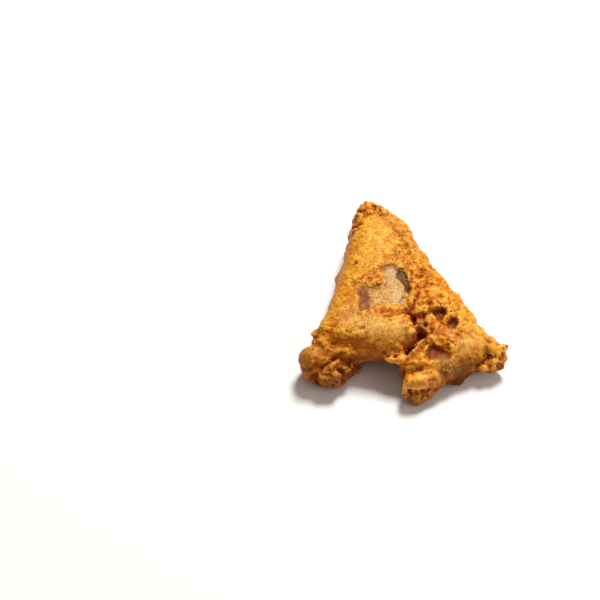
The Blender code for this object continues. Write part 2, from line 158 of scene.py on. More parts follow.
# Hollows of the shown side: a smooth closed outline as seen from above, depth, width of the wall, and how
# much the floor rises for each millimetre towards the near end.
HOLLOWS = {
    "bare patch": (
        [(-6.4, 5.2), (-6.0, 8.0), (-4.1, 9.4), (-2.0, 8.6), (-1.4, 5.6), (0.1, 2.0), (1.2, -1.4),
         (1.4, -5.3), (0.4, -8.4), (-4.6, -8.7), (-8.2, -8.9), (-11.2, -10.6), (-13.4, -11.2), (-15.0, -8.4),
         (-14.8, -2.6), (-13.9, -0.1), (-10.2, -0.4), (-7.2, 1.3), (-6.4, 3.0)],
        0.6, 1.6, 0.0,
    ),
    "slit": (
        [(-1.0, 7.2), (0.4, 7.6), (1.4, 6.8), (2.1, 4.5), (2.8, 2.0), (3.2, -0.5), (2.8, -3.0), (1.2, -2.8),
         (0.8, -0.8), (0.0, 0.8), (-1.1, 2.2), (-2.2, 3.4), (-2.2, 5.2)],
        0.9, 1.2, 0.0,
    ),
    "stained dent": (
        [(-15.4, -3.4), (-13.2, -3.6), (-12.2, -7.0), (-12.8, -10.8), (-15.4, -10.6)],
        0.7, 1.2, 0.0,
    ),
    "gap beside the bulge": (
        [(2.4, -11.8), (3.3, -10.9), (4.5, -11.3), (4.8, -13.0), (4.6, -15.0), (4.1, -15.0), (3.4, -13.2)],
        2.2, 0.7, 0.0,
    ),
    "crevice": (
        [(4.9, -16.6), (6.4, -16.3), (7.9, -17.3), (7.9, -18.6), (6.6, -20.4), (4.8, -22.6), (2.8, -24.8),
         (1.2, -26.0), (0.4, -25.6), (2.2, -23.6), (3.8, -21.6), (4.8, -19.4)],
        4.2, 1.6, 0.0,
    ),
    "first crater": (
        [(10.9, -9.3), (12.0, -8.7), (13.6, -8.4), (15.3, -7.8), (16.0, -8.8), (15.4, -11.0), (14.2, -12.9),
         (13.2, -12.6), (12.5, -11.2), (11.6, -10.4)],
        2.1, 1.5, 0.22,
    ),
    "second crater": (
        [(17.3, -12.7), (18.4, -11.8), (19.7, -11.6), (20.2, -12.8), (19.8, -14.8), (18.6, -16.8),
         (16.8, -16.6), (16.0, -15.0), (16.4, -13.6)],
        1.5, 1.6, 0.24,
    ),
    "third crater": (
        [(9.3, -24.4), (10.6, -23.6), (12.6, -23.8), (15.2, -25.0), (16.7, -27.0), (15.6, -29.2),
         (12.1, -30.0), (9.0, -29.0), (8.2, -26.9)],
        2.1, 1.6, 0.34,
    ),
    "pinhole": ([(7.7, -14.4), (8.4, -13.8), (9.1, -14.4), (8.5, -15.2)], 1.8, 0.6, 0.0),
}

# Hollows that are shaded as craters, and hollows that are shaded as gaps.
PITS = ("first crater", "second crater", "third crater", "pinhole")
GAPS = ("gap beside the bulge", "crevice")

# Folds of the shown side: a smooth path as seen from above, half width, height (below 0 for a dent), and how
# steep the edges are.
FOLDS = {
    "crest over the far left rim": ([(-16.6, 30.0), (-14.6, 34.0), (-12.0, 38.0)], 2.2, 1.2, 2),
    "crest over the far end": ([(-12.0, 38.8), (-8.0, 38.6), (-5.8, 36.0)], 2.2, 1.4, 2),
    "first curl of the crest": (
        [(-17.8, 30.4), (-15.9, 29.6), (-14.4, 31.0), (-13.2, 33.4), (-10.6, 34.6)], 0.9, 0.9, 2,
    ),
    "second curl of the crest": ([(-18.4, 26.6), (-16.2, 27.6), (-14.0, 27.4), (-12.5, 25.6)], 0.8, 0.6, 2),
    "brown hollow under the crest": ([(-18.2, 29.2), (-16.2, 28.8), (-14.4, 29.2)], 0.9, -1.1, 2),
    "crust along the far right rim": (
        [(-5.4, 34.6), (-1.0, 30.2), (2.6, 24.4), (5.4, 17.0), (7.6, 10.0)], 2.2, 0.7, 3,
    ),
    "right rim": ([(9.4, 17.0), (12.6, 10.6), (18.0, 2.4), (24.4, -6.4), (30.0, -14.0)], 1.7, 0.5, 3),
    "ledge over the bare patch": (
        [(-16.6, 2.2), (-13.2, 2.0), (-10.9, 1.6), (-8.6, 2.8), (-7.6, 4.6)], 1.6, 0.55, 2,
    ),
    "curl over the bare patch": (
        [(-12.9, 4.6), (-11.2, 7.0), (-8.8, 8.4), (-6.2, 9.2), (-3.6, 9.8)], 1.4, 0.3, 2,
    ),
    "second curl over the bare patch": ([(-13.4, 3.2), (-10.4, 4.0), (-8.6, 6.0)], 0.9, 0.35, 2),
    "near rim of the bare patch": (
        [(-14.6, -12.6), (-11.0, -12.0), (-6.5, -10.7), (-2.9, -10.7), (0.6, -9.8)], 1.4, 0.6, 3,
    ),
    "near right rim of the bare patch": ([(0.8, -9.6), (2.8, -6.8), (4.0, -3.2), (4.4, 0.2)], 1.0, 0.8, 2),
    "groove under the near rim": ([(-7.3, -14.3), (-4.1, -14.0), (-1.1, -13.2), (2.0, -11.8)], 0.5, -0.5, 2),
    "crease up beside the nose": (
        [(2.0, -11.8), (3.2, -9.8), (4.6, -7.4), (5.6, -4.8), (6.3, -2.6)], 0.5, -1.1, 2,
    ),
    "right crease": ([(3.6, 6.2), (4.9, 4.4), (6.2, 3.8), (7.6, 4.6)], 0.6, -0.8, 2),
    "swelling at the near edge": ([(-11.0, -19.5), (-1.0, -19.4)], 4.8, 1.0, 2),
    "slope between the knob and the bulge": ([(-25.0, -24.4), (-19.0, -26.0), (-14.0, -27.0)], 3.6, -2.4, 2),
    "mark in the swelling": ([(-15.4, -18.9), (-14.6, -18.8)], 0.8, -0.5, 2),
    "second mark in the swelling": ([(-20.2, -19.9), (-19.6, -20.3)], 0.7, -0.5, 2),
    "mound on the swelling": ([(-17.4, -21.2), (-15.6, -21.4)], 1.4, 0.6, 3),
    "shade under the nose": ([(4.2, -11.2), (6.5, -11.0), (8.7, -10.2), (11.0, -8.8)], 0.45, -0.6, 2),
    "lip of the third crater": ([(9.6, -21.0), (12.6, -20.6), (15.6, -21.8), (17.8, -24.6)], 1.0, 0.9, 2),
    "slope into the crevice": ([(9.6, -18.4), (7.6, -22.4), (4.2, -26.4)], 2.2, -1.0, 2),
    "ridge of the shelf": ([(13.0, -15.2), (10.6, -18.6), (9.2, -21.6)], 0.9, 0.7, 2),
    "smooth swelling by the right corner": ([(22.0, -23.0), (26.6, -22.6)], 3.8, 0.6, 2),
}

# Grooves that run down the sides: a path in space, half width and depth.
GROOVES = {
    "between the dome and the front of the knob": (
        [(-33.4, -32.0, 7.6), (-31.6, -32.2, 8.6), (-30.2, -31.4, 9.8), (-28.4, -30.4, 11.4),
         (-26.0, -29.4, 12.2), (-24.6, -28.0, 12.2)],
        0.8, 1.8,
    ),
    "left of the square lump": ([(-31.2, -32.8, 8.4), (-31.4, -33.2, 5.6), (-30.6, -33.6, 3.0)], 0.8, 1.6),
    "right of the square lump": ([(-24.4, -31.0, 11.0), (-23.0, -31.6, 8.4), (-22.6, -32.0, 5.0)], 0.8, 1.6),
    "under the leg's ridge": (
        [(-1.4, -31.2, 8.0), (0.6, -32.2, 9.0), (2.6, -32.8, 10.2), (6.0, -32.6, 11.2)], 0.8, 1.6,
    ),
    "behind the corner lumps": ([(27.0, -27.4, 7.8), (28.8, -26.2, 8.8), (30.2, -24.6, 10.2)], 1.0, 1.3),
    "between the corner lumps": ([(30.6, -28.0, 6.6), (33.2, -26.0, 8.4), (34.2, -24.2, 10.0)], 0.6, 0.9),
    "over the lump under the bulge": (
        [(-7.6, -27.0, 13.2), (-4.0, -28.0, 14.2), (0.8, -27.2, 15.2)], 0.9, 2.0,
    ),
    "under the finger": ([(0.4, -38.6, 5.6), (4.6, -38.8, 5.8), (9.2, -37.2, 6.4)], 0.7, 0.7),
}

# Stains of the crust: where each colour lies, as paths in plan with half width and strength. Some of them are
# painted light and painted shade, as noted.
STAINS = {
    "cream": [
        ([(-8.6, 27.0), (-10.6, 19.0), (-9.4, 12.6)], 5.0, 0.75),
        ([(9.6, -2.6), (14.9, -2.0), (18.6, -4.0)], 1.9, 0.5),
        # The cream on the finger and on the corner lumps is painted light.
        ([(1.6, -36.6), (5.6, -35.6), (9.6, -33.8)], 1.5, 0.8),
        ([(31.4, -26.8), (35.0, -25.0), (35.8, -22.4), (33.0, -19.8)], 1.8, 0.8),
        ([(2.0, -29.4), (8.6, -30.4)], 1.0, 0.6),
        ([(-14.8, 26.4), (-13.8, 21.0)], 1.8, 0.6),
        ([(21.8, -23.4), (24.4, -21.8), (27.8, -21.8)], 3.8, 1.0),
        ([(26.6, -13.6), (30.4, -19.0)], 2.6, 0.9),
        ([(-17.0, -15.0), (-12.0, -17.4), (-6.0, -18.6), (-1.0, -18.0)], 2.8, 0.5),
    ],
    "orange": [
        ([(-4.8, 33.0), (0.6, 26.4), (4.2, 18.0), (6.8, 10.5), (10.4, 6.0)], 2.4, 0.8),
        ([(-17.6, 29.0), (-14.6, 34.4), (-9.0, 37.6), (-5.0, 35.0)], 2.4, 0.7),
        ([(-15.8, 2.2), (-11.4, 2.8), (-8.0, 4.4), (-10.4, 6.8), (-5.6, 9.4)], 1.5, 0.95),
        ([(-14.6, -12.8), (-11.0, -12.2), (-6.5, -11.0), (-2.9, -11.0), (0.8, -10.0), (3.0, -7.0)], 2.2, 1.0),
        ([(11.0, 12.0), (16.0, 4.6), (21.0, -2.6)], 2.4, 0.8),
        ([(-19.6, -7.0), (-22.4, -13.0)], 3.2, 0.9),
        ([(-35.0, -27.0), (-30.0, -25.0)], 4.0, 0.7),
        ([(14.0, -19.0), (19.0, -24.0)], 2.6, 0.5),
        ([(2.6, 9.4), (4.6, 5.0), (4.6, -1.0), (3.6, -5.0)], 1.9, 0.85),
        ([(-16.4, 0.6), (-16.4, -5.0), (-16.2, -9.4), (-14.6, -11.4)], 1.0, 0.8),
        ([(-32.0, -17.6), (-29.0, -20.0), (-27.6, -24.0)], 2.6, 0.7),
        ([(30.6, -17.6), (34.6, -21.6)], 2.4, 0.3),
        ([(0.0, -29.2), (8.6, -30.6)], 1.3, 0.6),
        ([(3.6, -9.0), (8.6, -7.2), (12.0, -5.4)], 1.8, 0.8),
        ([(12.6, -15.0), (11.0, -20.0), (16.0, -20.4)], 2.2, 0.7),
        # This orange along the left slope is painted shade over orange crust.
        ([(-25.4, -4.0), (-22.4, 8.0), (-19.8, 18.0)], 3.0, 0.7),
        ([(-19.4, -2.6), (-18.4, -8.0)], 2.4, 0.8),
        ([(8.0, 20.0), (12.2, 12.0), (17.0, 5.0)], 2.2, 0.8),
    ],
    "tan": [
        ([(-18.0, -14.6), (-13.0, -17.6), (-6.0, -20.0), (-1.0, -19.6)], 4.2, 0.85),
        ([(22.8, -23.4), (27.4, -22.6)], 3.6, 0.7),
        ([(13.0, -30.4), (20.0, -28.8)], 2.8, 0.7),
        ([(-22.4, 2.0), (-20.4, 14.0)], 2.4, 0.25),
    ],
    "smudge": [
        # Painted shadow under the ledge over the bare patch.
        ([(-14.7, -1.6), (-11.7, -1.2), (-8.2, -0.9)], 1.6, 0.85),
        # An olive-brown smudge by the slit.
        ([(-5.8, 7.8), (-4.2, 8.4), (-2.2, 7.6), (-1.4, 5.6)], 1.6, 0.95),
    ],
    "umber": [
        # This umber is painted shade on the bulge's right end, over grey-brown crust.
        ([(1.0, -20.0), (2.6, -20.0), (3.6, -21.7), (2.4, -24.0)], 2.3, 1.0),
        ([(-15.4, -18.9), (-14.6, -18.8)], 1.0, 0.8),
        ([(-20.2, -19.9), (-19.6, -20.3)], 0.9, 0.7),
        ([(20.6, -24.2), (22.0, -23.2)], 1.3, 0.6),
        ([(-16.4, 28.9), (-14.6, 29.3)], 1.0, 0.5),
        ([(-1.5, -7.4), (-0.3, -6.2), (0.7, -5.0)], 0.6, 0.9),
    ],
    "rust": [
        # The rust stains are mostly painted shade in creases, under the nose and down into the crevice, over
        # redder crust.
        ([(4.6, -12.4), (7.0, -13.0), (8.6, -16.2)], 2.2, 0.9),
        ([(13.0, -17.6), (10.0, -19.2), (7.6, -22.0), (4.0, -26.0)], 2.6, 0.9),
        ([(3.6, 6.2), (4.9, 4.4), (6.2, 3.8), (7.6, 4.6)], 0.7, 0.9),
        ([(3.6, 1.6), (4.2, -1.6), (3.6, -4.6)], 0.7, 0.7),
        ([(1.6, -11.6), (3.2, -9.8), (4.6, -7.4), (5.6, -4.8), (6.3, -2.6)], 0.8, 0.95),
        ([(-7.3, -14.3), (-4.1, -14.0), (-1.1, -13.2), (2.0, -11.8)], 0.7, 0.9),
        ([(4.6, -11.0), (6.5, -11.0), (8.7, -10.2), (11.0, -8.8)], 0.7, 0.8),
        ([(9.8, -6.4), (12.0, -5.4), (16.2, -5.4)], 0.9, 0.5),
        ([(13.6, -12.6), (15.0, -14.6), (15.4, -17.0)], 1.2, 0.7),
        ([(13.4, -18.4), (17.0, -19.4), (19.6, -18.8)], 2.2, 0.6),
        ([(-10.9, 4.6), (-9.4, 5.8), (-7.4, 6.8)], 0.7, 0.7),
        ([(-1.4, -28.6), (1.0, -28.0)], 1.2, 0.6),
        ([(-34.0, -24.0), (-31.0, -28.0), (-26.0, -31.0)], 4.6, 0.4),
    ],
    "mauve": [
        ([(-14.6, -3.6), (-13.8, -6.4), (-14.4, -9.6)], 2.3, 1.1),
        ([(18.0, -15.2), (17.6, -16.2)], 1.0, 0.4),
        # This mauve on the shelf is painted shade over mauve-brown crust.
        ([(5.0, -13.4), (8.4, -14.8)], 1.9, 0.5),
        ([(11.4, -28.6), (14.6, -28.2)], 1.2, 0.4),
    ],
    "pale": [
        ([(-4.5, 6.6), (-3.2, 6.2), (-2.4, 5.0)], 1.0, 0.9),
        ([(-4.6, 6.6), (-3.9, 2.2), (-2.0, -2.4), (-1.4, -6.4)], 2.0, 0.5),
    ],
    "brown": [
        # The brown stains are painted shade in grooves, under overhangs and along the slit; on the knob, over
        # browner crust.
        ([(-34.0, -28.0), (-29.0, -29.0), (-22.6, -29.6)], 5.2, 0.5),
        ([(2.0, -39.0), (6.0, -38.4), (11.0, -35.8)], 1.5, 0.6),
        ([(26.6, -27.4), (29.0, -26.4), (31.0, -25.8)], 1.0, 0.7),
        ([(-2.3, 3.2), (-0.5, 2.0), (0.8, 0.2), (1.2, -1.8)], 0.35, 0.8),
        ([(10.4, -9.6), (7.4, -11.2)], 0.5, 0.7),
        ([(-1.2, -31.6), (2.8, -33.0), (5.6, -33.0)], 0.9, 0.7),
    ],
}

# Marks that also lie on the sides: a path in space and its half width. The lit marks are painted light on
# lumps, and shaded and dark_knob are painted shade on the leg's and the knob's fronts, the knob's over
# browner crust.
MARKS = {
    "flake": ([(18.4, -32.2, 1.6), (23.0, -29.4, 1.6)], 3.0),
    "lit": ([(1.2, -38.6, 8.0), (4.8, -38.0, 8.8), (9.4, -35.0, 9.8)], 3.6),
    "lit_corner": ([(30.6, -27.2, 8.4), (35.0, -25.0, 9.4), (36.6, -22.2, 10.4)], 3.3),
    "lit_lump": ([(-5.4, -27.6, 12.0), (-0.8, -28.4, 12.2)], 2.4),
    "lit_dome": ([(-36.6, -27.4, 9.4), (-34.0, -24.0, 13.4)], 3.4),
    "shaded": ([(11.0, -32.8, 8.4), (17.0, -31.0, 8.8), (24.0, -28.6, 8.0)], 4.0),
    "dark_knob": ([(-31.0, -35.0, 4.0), (-24.0, -33.4, 6.0), (-19.0, -30.0, 7.0), (-15.0, -27.0, 4.0)], 4.8),
}

# Where the crust is granular all round: a path in space and its half width.
GRANULAR = {
    "knob": ([(-28.0, -33.0, 6.6), (-22.0, -30.4, 7.0)], 3.6),
    "corner": ([(30.0, -28.0, 7.0), (36.0, -23.0, 8.0)], 3.6),
    "finger": ([(1.0, -38.0, 5.0), (10.0, -36.0, 5.0)], 3.4),
    "crest": ([(-17.0, 31.0, 20.0), (-12.0, 38.0, 20.0), (-5.0, 36.0, 20.0)], 3.4),
    "bulge's end": ([(-4.0, -28.0, 11.0), (3.0, -23.0, 15.0)], 3.0),
}

# How craggy the shown side is: paths in plan with half width and cragginess, each laid over the ones before.
CRAG_BETWEEN = 0.42
CRAGS = [
    ([(-9.0, 30.0), (-10.0, 20.0), (-12.0, 10.0)], 8.0, 0.06),
    ([(-22.0, 12.0), (-23.0, 0.0), (-22.0, -12.0)], 6.0, 0.10),
    ([(-20.0, -8.0), (-14.0, -16.0), (-4.0, -20.0)], 6.5, 0.10),
    ([(-25.0, -24.4), (-19.0, -26.0), (-10.0, -27.0)], 4.6, 0.08),
    ([(-3.0, 6.0), (-2.0, -4.0), (-10.0, -5.6)], 4.4, 0.04),
    ([(22.6, -23.4), (27.0, -22.4)], 4.0, 0.06),
    ([(13.0, -30.4), (21.0, -28.8)], 3.0, 0.12),
    ([(1.0, -17.0), (3.0, -20.0), (1.0, -24.0)], 2.6, 0.45),
    ([(20.0, -8.0), (24.0, -14.0)], 3.6, 0.25),
    ([(-16.0, 2.6), (-11.6, 3.4), (-8.2, 5.6), (-5.0, 9.8)], 1.9, 0.45),
    ([(-13.0, -12.2), (-8.3, -11.6), (-1.0, -10.8), (3.6, -6.8)], 1.5, 0.5),
    ([(2.0, 9.8), (4.6, 4.8), (4.6, -4.0)], 2.0, 0.6),
    ([(0.0, 6.0), (1.6, 1.0), (2.2, -1.6)], 1.2, 0.4),
    ([(5.0, -12.6), (8.6, -15.6)], 2.6, 0.5),
    ([(-32.4, -17.4), (-30.0, -21.0), (-27.6, -24.4)], 2.4, 0.6),
    ([(-34.0, -27.0), (-27.0, -31.0), (-21.0, -29.4)], 5.0, 0.55),
    ([(-34.6, -27.0), (-31.0, -24.6)], 3.6, 0.22),
    ([(31.0, -26.6), (35.0, -22.6)], 3.0, 0.5),
    ([(2.0, -36.4), (6.0, -35.0), (11.0, -33.4)], 2.2, 0.3),
    ([(-18.0, 28.0), (-14.8, 34.4), (-9.0, 38.0), (-4.0, 35.6)], 2.6, 0.6),
    ([(12.0, -6.0), (17.6, -9.4), (14.0, -13.0)], 2.6, 0.6),
    ([(7.4, -24.4), (12.4, -20.0), (18.2, -24.6)], 1.6, 0.7),
]

# Pepper specks and herb flecks that show, as seen from above. More lie at random.
PEPPER = [
    (-9.8, 39.4), (-9.2, 38.0), (-10.4, 33.4), (-7.0, 33.0), (-6.2, 32.0), (-4.4, 31.4), (-3.4, 29.6),
    (-2.0, 25.5), (-2.5, 24.6), (2.2, 25.3), (2.6, 23.4), (0.9, 21.8), (-18.6, 28.2), (-8.5, 8.6),
    (-3.8, 15.2), (-2.0, 14.2), (-0.5, 14.7), (-5.3, 28.6), (0.2, -5.4), (-0.8, -6.8),
]
HERBS = [(4.5, 15.9), (-3.0, 19.0), (-15.4, -21.1), (20.6, -11.8), (16.6, -19.5), (0.9, -6.4)]

# --------------------------------------------------------------------------------------------------
# Relief and detail, in millimetres

# Surfaces: points round the axis, and points from pole to pole.
LOBE_GRID = (96, 49)
LUMP_GRID = (40, 21)

# A bit's ball: points in each ring, and rings between its poles.
BIT_GRID = (7, 3)

# Skins: width of the voxels and rounds of smoothing. The crust's own voxels are a setting.
LOBE_SKIN = (1.1, 8)
LUMP_SKIN = (0.5, 3)
CRUST_SMOOTHING = 2

# Layers of lumps: width of a lump, height, how far the whole layer is set back, and seed.
LARGE_LUMPS = (5.0, 2.4, 0.9, 11)
SMALL_LUMPS = (2.6, 1.5, 0.5, 23)
LARGE_SIDE_LUMPS = (9.0, 2.6, 1.0, 61)
SMALL_SIDE_LUMPS = (3.2, 1.3, 0.45, 65)
BUBBLES = (1.4, 0.75, 0.25, 41)
GRANULES = (1.5, 0.55, 0.2, 71)

# Layers of drift: height, or reach in plan for the wandering, and size and seed.
SWELLS = ((0.35, 9.0, 31), (0.15, 3.5, 33))
SIDE_SWELL = (0.8, 6.0, 63)
WRINKLES = (0.22, 1.1, 49)
FINEST_GRAIN = (0.04, 0.5, 59)
WANDERING = ((0.4, 3.0, 3), (0.35, 1.2, 5), (0.2, 0.6, 9))

# Patchiness: the least share, the drift between which it rises from that to 1, and the drift's size and seed.
LUMP_PATCHES = (0.3, -0.5, 0.4, 6.0, 37)
BUBBLE_PATCHES = (0.25, -0.4, 0.5, 3.6, 43)

# Broad lumps fade in on the sides as the normal's Z goes from one value to the other, and as Y does.
SIDE_FACING = (0.5, -0.1)
BEYOND_NEAR_WALLS = (-26.0, -12.0)

# Heights between which the masks of the lower crust and of the low crust fade in.
LOWER = (15.0, 9.0)
LOW = (9.0, 2.0)

# What the crust's colour is multiplied by, from fine peaks through level places to fine dents: a painted
# highlight on the peaks, and painted shade in the dents, where the crust is also darker.
DEPTH_TINTS = [(0.2, (1.03, 1.05, 1.12)), (0.5, (1.0, 1.0, 1.0)), (0.9, (0.86, 0.70, 0.45))]

# Bits: the shape is the three sizes of a bit and sink is how deep it lies, as shares of its width. Raggedness
# is how far its points are drawn in or out, spread is how much the widths differ, bump is the depth of its
# bumps, and seed is the first of four.
BITS = {
    "crust_crumbs": {
        "material": "crumb_crust", "shape": (1.0, 0.8, 0.75), "raggedness": 0.22, "sink": 0.12,
        "spread": 0.35, "roughness": 0.5, "bump": 0.3, "seed": 101,
    },
    "meal_grains": {
        "material": "meal_grain", "shape": (1.0, 0.8, 0.7), "raggedness": 0.18, "sink": 0.1,
        "spread": 0.3, "roughness": 0.4, "bump": 0.1, "seed": 111,
    },
    "pepper_specks": {
        "material": "pepper", "shape": (1.0, 0.7, 0.5), "raggedness": 0.3, "sink": 0.0,
        "spread": 0.25, "roughness": 0.6, "bump": 0.1, "seed": 121,
    },
    "herb_flecks": {
        "material": "herb", "shape": (1.0, 0.65, 0.25), "raggedness": 0.3, "sink": -0.04,
        "spread": 0.2, "roughness": 0.5, "bump": 0.1, "seed": 131,
    },
}

# --------------------------------------------------------------------------------------------------
# Stage: the camera's lens and sensor in millimetres, and the floor and the lights in metres and watts. The
# lights point at the origin.

LENS = 100.0
SENSOR = 36.0
FLOOR_HALF_WIDTH = 2.0
LIGHTS = {
    "key": {"place": (0.24, 0.64, 1.02), "size": 0.35, "power": 18.4, "tint": (1.0, 0.99, 0.96)},
    "fill": {"place": (0.8, -0.35, 0.45), "size": 0.6, "power": 2.6, "tint": (1.0, 0.9, 0.8)},
}
STUDIO_TINT = (1.0, 0.9, 0.8, 1.0)
STUDIO_STRENGTH = 0.26


# --------------------------------------------------------------------------------------------------
# Number tools


def spline(before, start, end, after, steps):
    """Points along a Catmull-Rom spline: from each start to its end a cubic in t from 0 to 1, whose slope at
    each is half the step between the points on either side of it."""
    t = np.linspace(0.0, 1.0, steps, endpoint=False)[:, None, None]
    curve = start + (end - before) * t / 2
    curve = curve + (before - 2.5 * start + 2 * end - after / 2) * t**2
    curve = curve + (1.5 * (start - end) + (after - before) / 2) * t**3
    return curve.transpose(1, 0, 2).reshape(-1, start.shape[1])


def closed_curve(points, steps=6):
    """A smooth closed curve through the points."""
    return spline(*(np.roll(np.array(points), shift, axis=0) for shift in (1, 0, -1, -2)), steps)


def open_curve(points, steps=6):
    """A smooth open curve through the points, as a spline whose two end points are repeated."""
    padded = np.array([points[0], *points, points[-1]])
    curve = spline(padded[:-3], padded[1:-2], padded[2:-1], padded[3:], steps)
    return np.vstack([curve, padded[-1]])


def chance(cells, seed):
    """A repeatable random number from 0 to 1 for each whole-numbered cell of a lattice. The large numbers
    only mix the bits of the cell's place."""
    mixed = cells[:, 0] * 73856093 ^ cells[:, 1] * 19349663 ^ cells[:, 2] * 83492791 ^ seed * 9176501
    mixed = (mixed ^ (mixed >> 13)) * 1274126177 & 0xFFFFFFFF
    mixed = (mixed ^ (mixed >> 16)) * 668265263 & 0xFFFFFFFF
    return (mixed ^ (mixed >> 15)) / 0xFFFFFFFF


def drift(points, size, seed):
    """Smooth random field from -1 to 1: the values of a lattice's corners, blended by 3t^2 - 2t^3 along each
    axis."""
    home = np.floor(points / size).astype(np.int64)
    t = points / size - home
    t = t * t * (3.0 - 2.0 * t)
    field = np.zeros(len(points))
    for corner in np.ndindex(2, 2, 2):
        weight = np.prod(np.where(corner, t, 1.0 - t), axis=1)
        field += weight * chance(home + np.array(corner), seed)
    return 2.0 * field - 1.0


def drift_layer(points, height, size, seed):
    """A drift times its height."""
    return height * drift(points, size, seed)


def patchy(points, least, low, high, size, seed):
    """A share that is 1 in some places and the least share in others, as a drift goes."""
    return least + (1.0 - least) * smooth_step(low, high, drift(points, size, seed))


def ball_heap(points, size, seed):
    """Height of a heap of soft lumps: each lattice cell holds one lump of random place and radius, as tall as
    radius * (1 - (distance / radius)^2), and neighbours run together as the fourth root of the sum of their
    fourth powers. It is given as a share of the cell's size."""
    home = np.floor(points / size).astype(np.int64)
    total = np.zeros(len(points))
    for step in np.ndindex(3, 3, 3):
        cells = home + np.array(step) - 1
        offset = np.stack([chance(cells, seed + axis) for axis in range(3)], axis=1)
        radius = size * (0.3 + 0.6 * chance(cells, seed + 3))
        apart = np.sum((points - (cells + offset) * size) ** 2, axis=1)
        total += (radius * np.maximum(1.0 - apart / radius**2, 0.0)) ** 4
    return total**0.25 / size


def lump_layer(points, size, height, set_back, seed):
    """A heap of uneven lumps: a ball heap on points moved about by up to a third of a cell, times its height
    and less its setback."""
    moved = np.stack([drift(points, size, seed + 7 + axis) for axis in range(3)], axis=1)
    return height * ball_heap(points + size / 3 * moved, size, seed) - set_back


def distance_to_path(places, path):
    """Least distance from each place to a path of straight pieces, in plan or in space."""
    nearest = np.full(len(places), np.inf)
    for a, b in zip(path[:-1], path[1:]):
        along = np.clip((places - a) @ (b - a) / max(np.sum((b - a) ** 2), 1e-12), 0.0, 1.0)
        nearest = np.minimum(nearest, np.linalg.norm(places - a - along[:, None] * (b - a), axis=1))
    return nearest


def depth_inside(plan, outline):
    """Distance in plan to a closed outline: above 0 inside it and below 0 outside. A point is inside if a ray
    from it crosses the outline an odd number of times."""
    distance = distance_to_path(plan, np.vstack([outline, outline[:1]]))
    crossings = np.zeros(len(plan), dtype=np.int64)
    for a, b in zip(outline, np.roll(outline, -1, axis=0)):
        spans = (a[1] > plan[:, 1]) != (b[1] > plan[:, 1])
        rise = np.where(b[1] == a[1], 1e-9, b[1] - a[1])
        crossings += spans & (plan[:, 0] < a[0] + (b[0] - a[0]) * (plan[:, 1] - a[1]) / rise)
    return np.where(crossings % 2, distance, -distance)


def smooth_step(low, high, values):
    """0 at low and 1 at high, with 3t^2 - 2t^3 between and no change past them. Low may be the larger one."""
    t = np.clip((values - low) / (high - low), 0.0, 1.0)
    return t * t * (3.0 - 2.0 * t)


# --------------------------------------------------------------------------------------------------
# Meshes


def new_mesh(name, points, faces):
    """A mesh of the points, given in millimetres, and the faces."""
    mesh = bpy.data.meshes.new(name)
    mesh.from_pydata((points * MM).tolist(), [], faces.tolist())
    mesh.update()
    return mesh


def new_object(name, data):
    """A new object for a mesh, a light or a camera, linked to the scene."""
    obj = bpy.data.objects.new(name, data)
    bpy.context.scene.collection.objects.link(obj)
    return obj


def vectors(source, name):
    """One vector for each element, as rows of three numbers."""
    values = np.empty(len(source) * 3)
    source.foreach_get(name, values)
    return values.reshape(-1, 3)


def places_and_normals(mesh):
    """The places of the mesh's vertices, in millimetres, and their normals."""
    return vectors(mesh.vertices, "co") / MM, vectors(mesh.vertex_normals, "vector")


def move_vertices(mesh, points):
    """Puts the mesh's vertices at the points, given in millimetres."""
    mesh.vertices.foreach_set("co", (points * MM).ravel())
    mesh.update()


def store_values(mesh, name, values):
    """Keeps one value for each vertex as an attribute, which materials read."""
    mesh.attributes.new(name, "FLOAT", "POINT").data.foreach_set("value", values.astype(np.float32))


def stored_values(mesh, name):
    """The values of one of the mesh's attributes."""
    values = np.empty(len(mesh.vertices))
    mesh.attributes[name].data.foreach_get("value", values)
    return values


# --------------------------------------------------------------------------------------------------
# Lobe surfaces and skins


def grid_faces(around, along):
    """Quads of a grid whose first parameter closes on itself."""
    i, j = np.meshgrid(np.arange(around), np.arange(along - 1), indexing="ij")
    right = (i + 1) % around
    corners = [i * along + j, right * along + j, right * along + j + 1, i * along + j + 1]
    return np.stack(corners, axis=-1).reshape(-1, 4)


def ball_grid(around, along):
    """Longitude u and latitude v on a grid over a ball, from pole to pole."""
    u = np.linspace(-math.pi, math.pi, around, endpoint=False)
    v = np.linspace(-math.pi / 2, math.pi / 2, along)
    return np.meshgrid(u, v, indexing="ij")


def plane(level, x, y):
    """Height of a tilted plane at each place, from its height at the middle and its rises along X and Y."""
    return level[0] + level[1] * x + level[2] * y


def cut_lobe(lobe):
    """A pillow over a cut outline. The outline's radius at longitude u is drawn in by cos(v)^p, and the
    height goes from the underside to the top as sin(v)^p, with p = 2 / squareness."""
    u, v = ball_grid(*LOBE_GRID)
    middle = np.array(lobe["middle"])
    away = closed_curve(lobe["outline"], steps=12) - middle
    power = 2.0 / lobe["squareness"]
    reach = np.interp(u, np.arctan2(away[:, 1], away[:, 0]), np.hypot(*away.T), period=math.tau)
    reach = reach * np.cos(v).clip(0.0) ** power
    x = reach * np.cos(u)
    y = reach * np.sin(u)
    top = plane(lobe["top"], x, y)
    under = plane(lobe["under"], x, y)
    lift = np.sign(v) * np.abs(np.sin(v)) ** power
    z = (top + under) / 2 + lift * (top - under) / 2
    return np.stack([x + middle[0], y + middle[1], z], axis=-1).reshape(-1, 3)


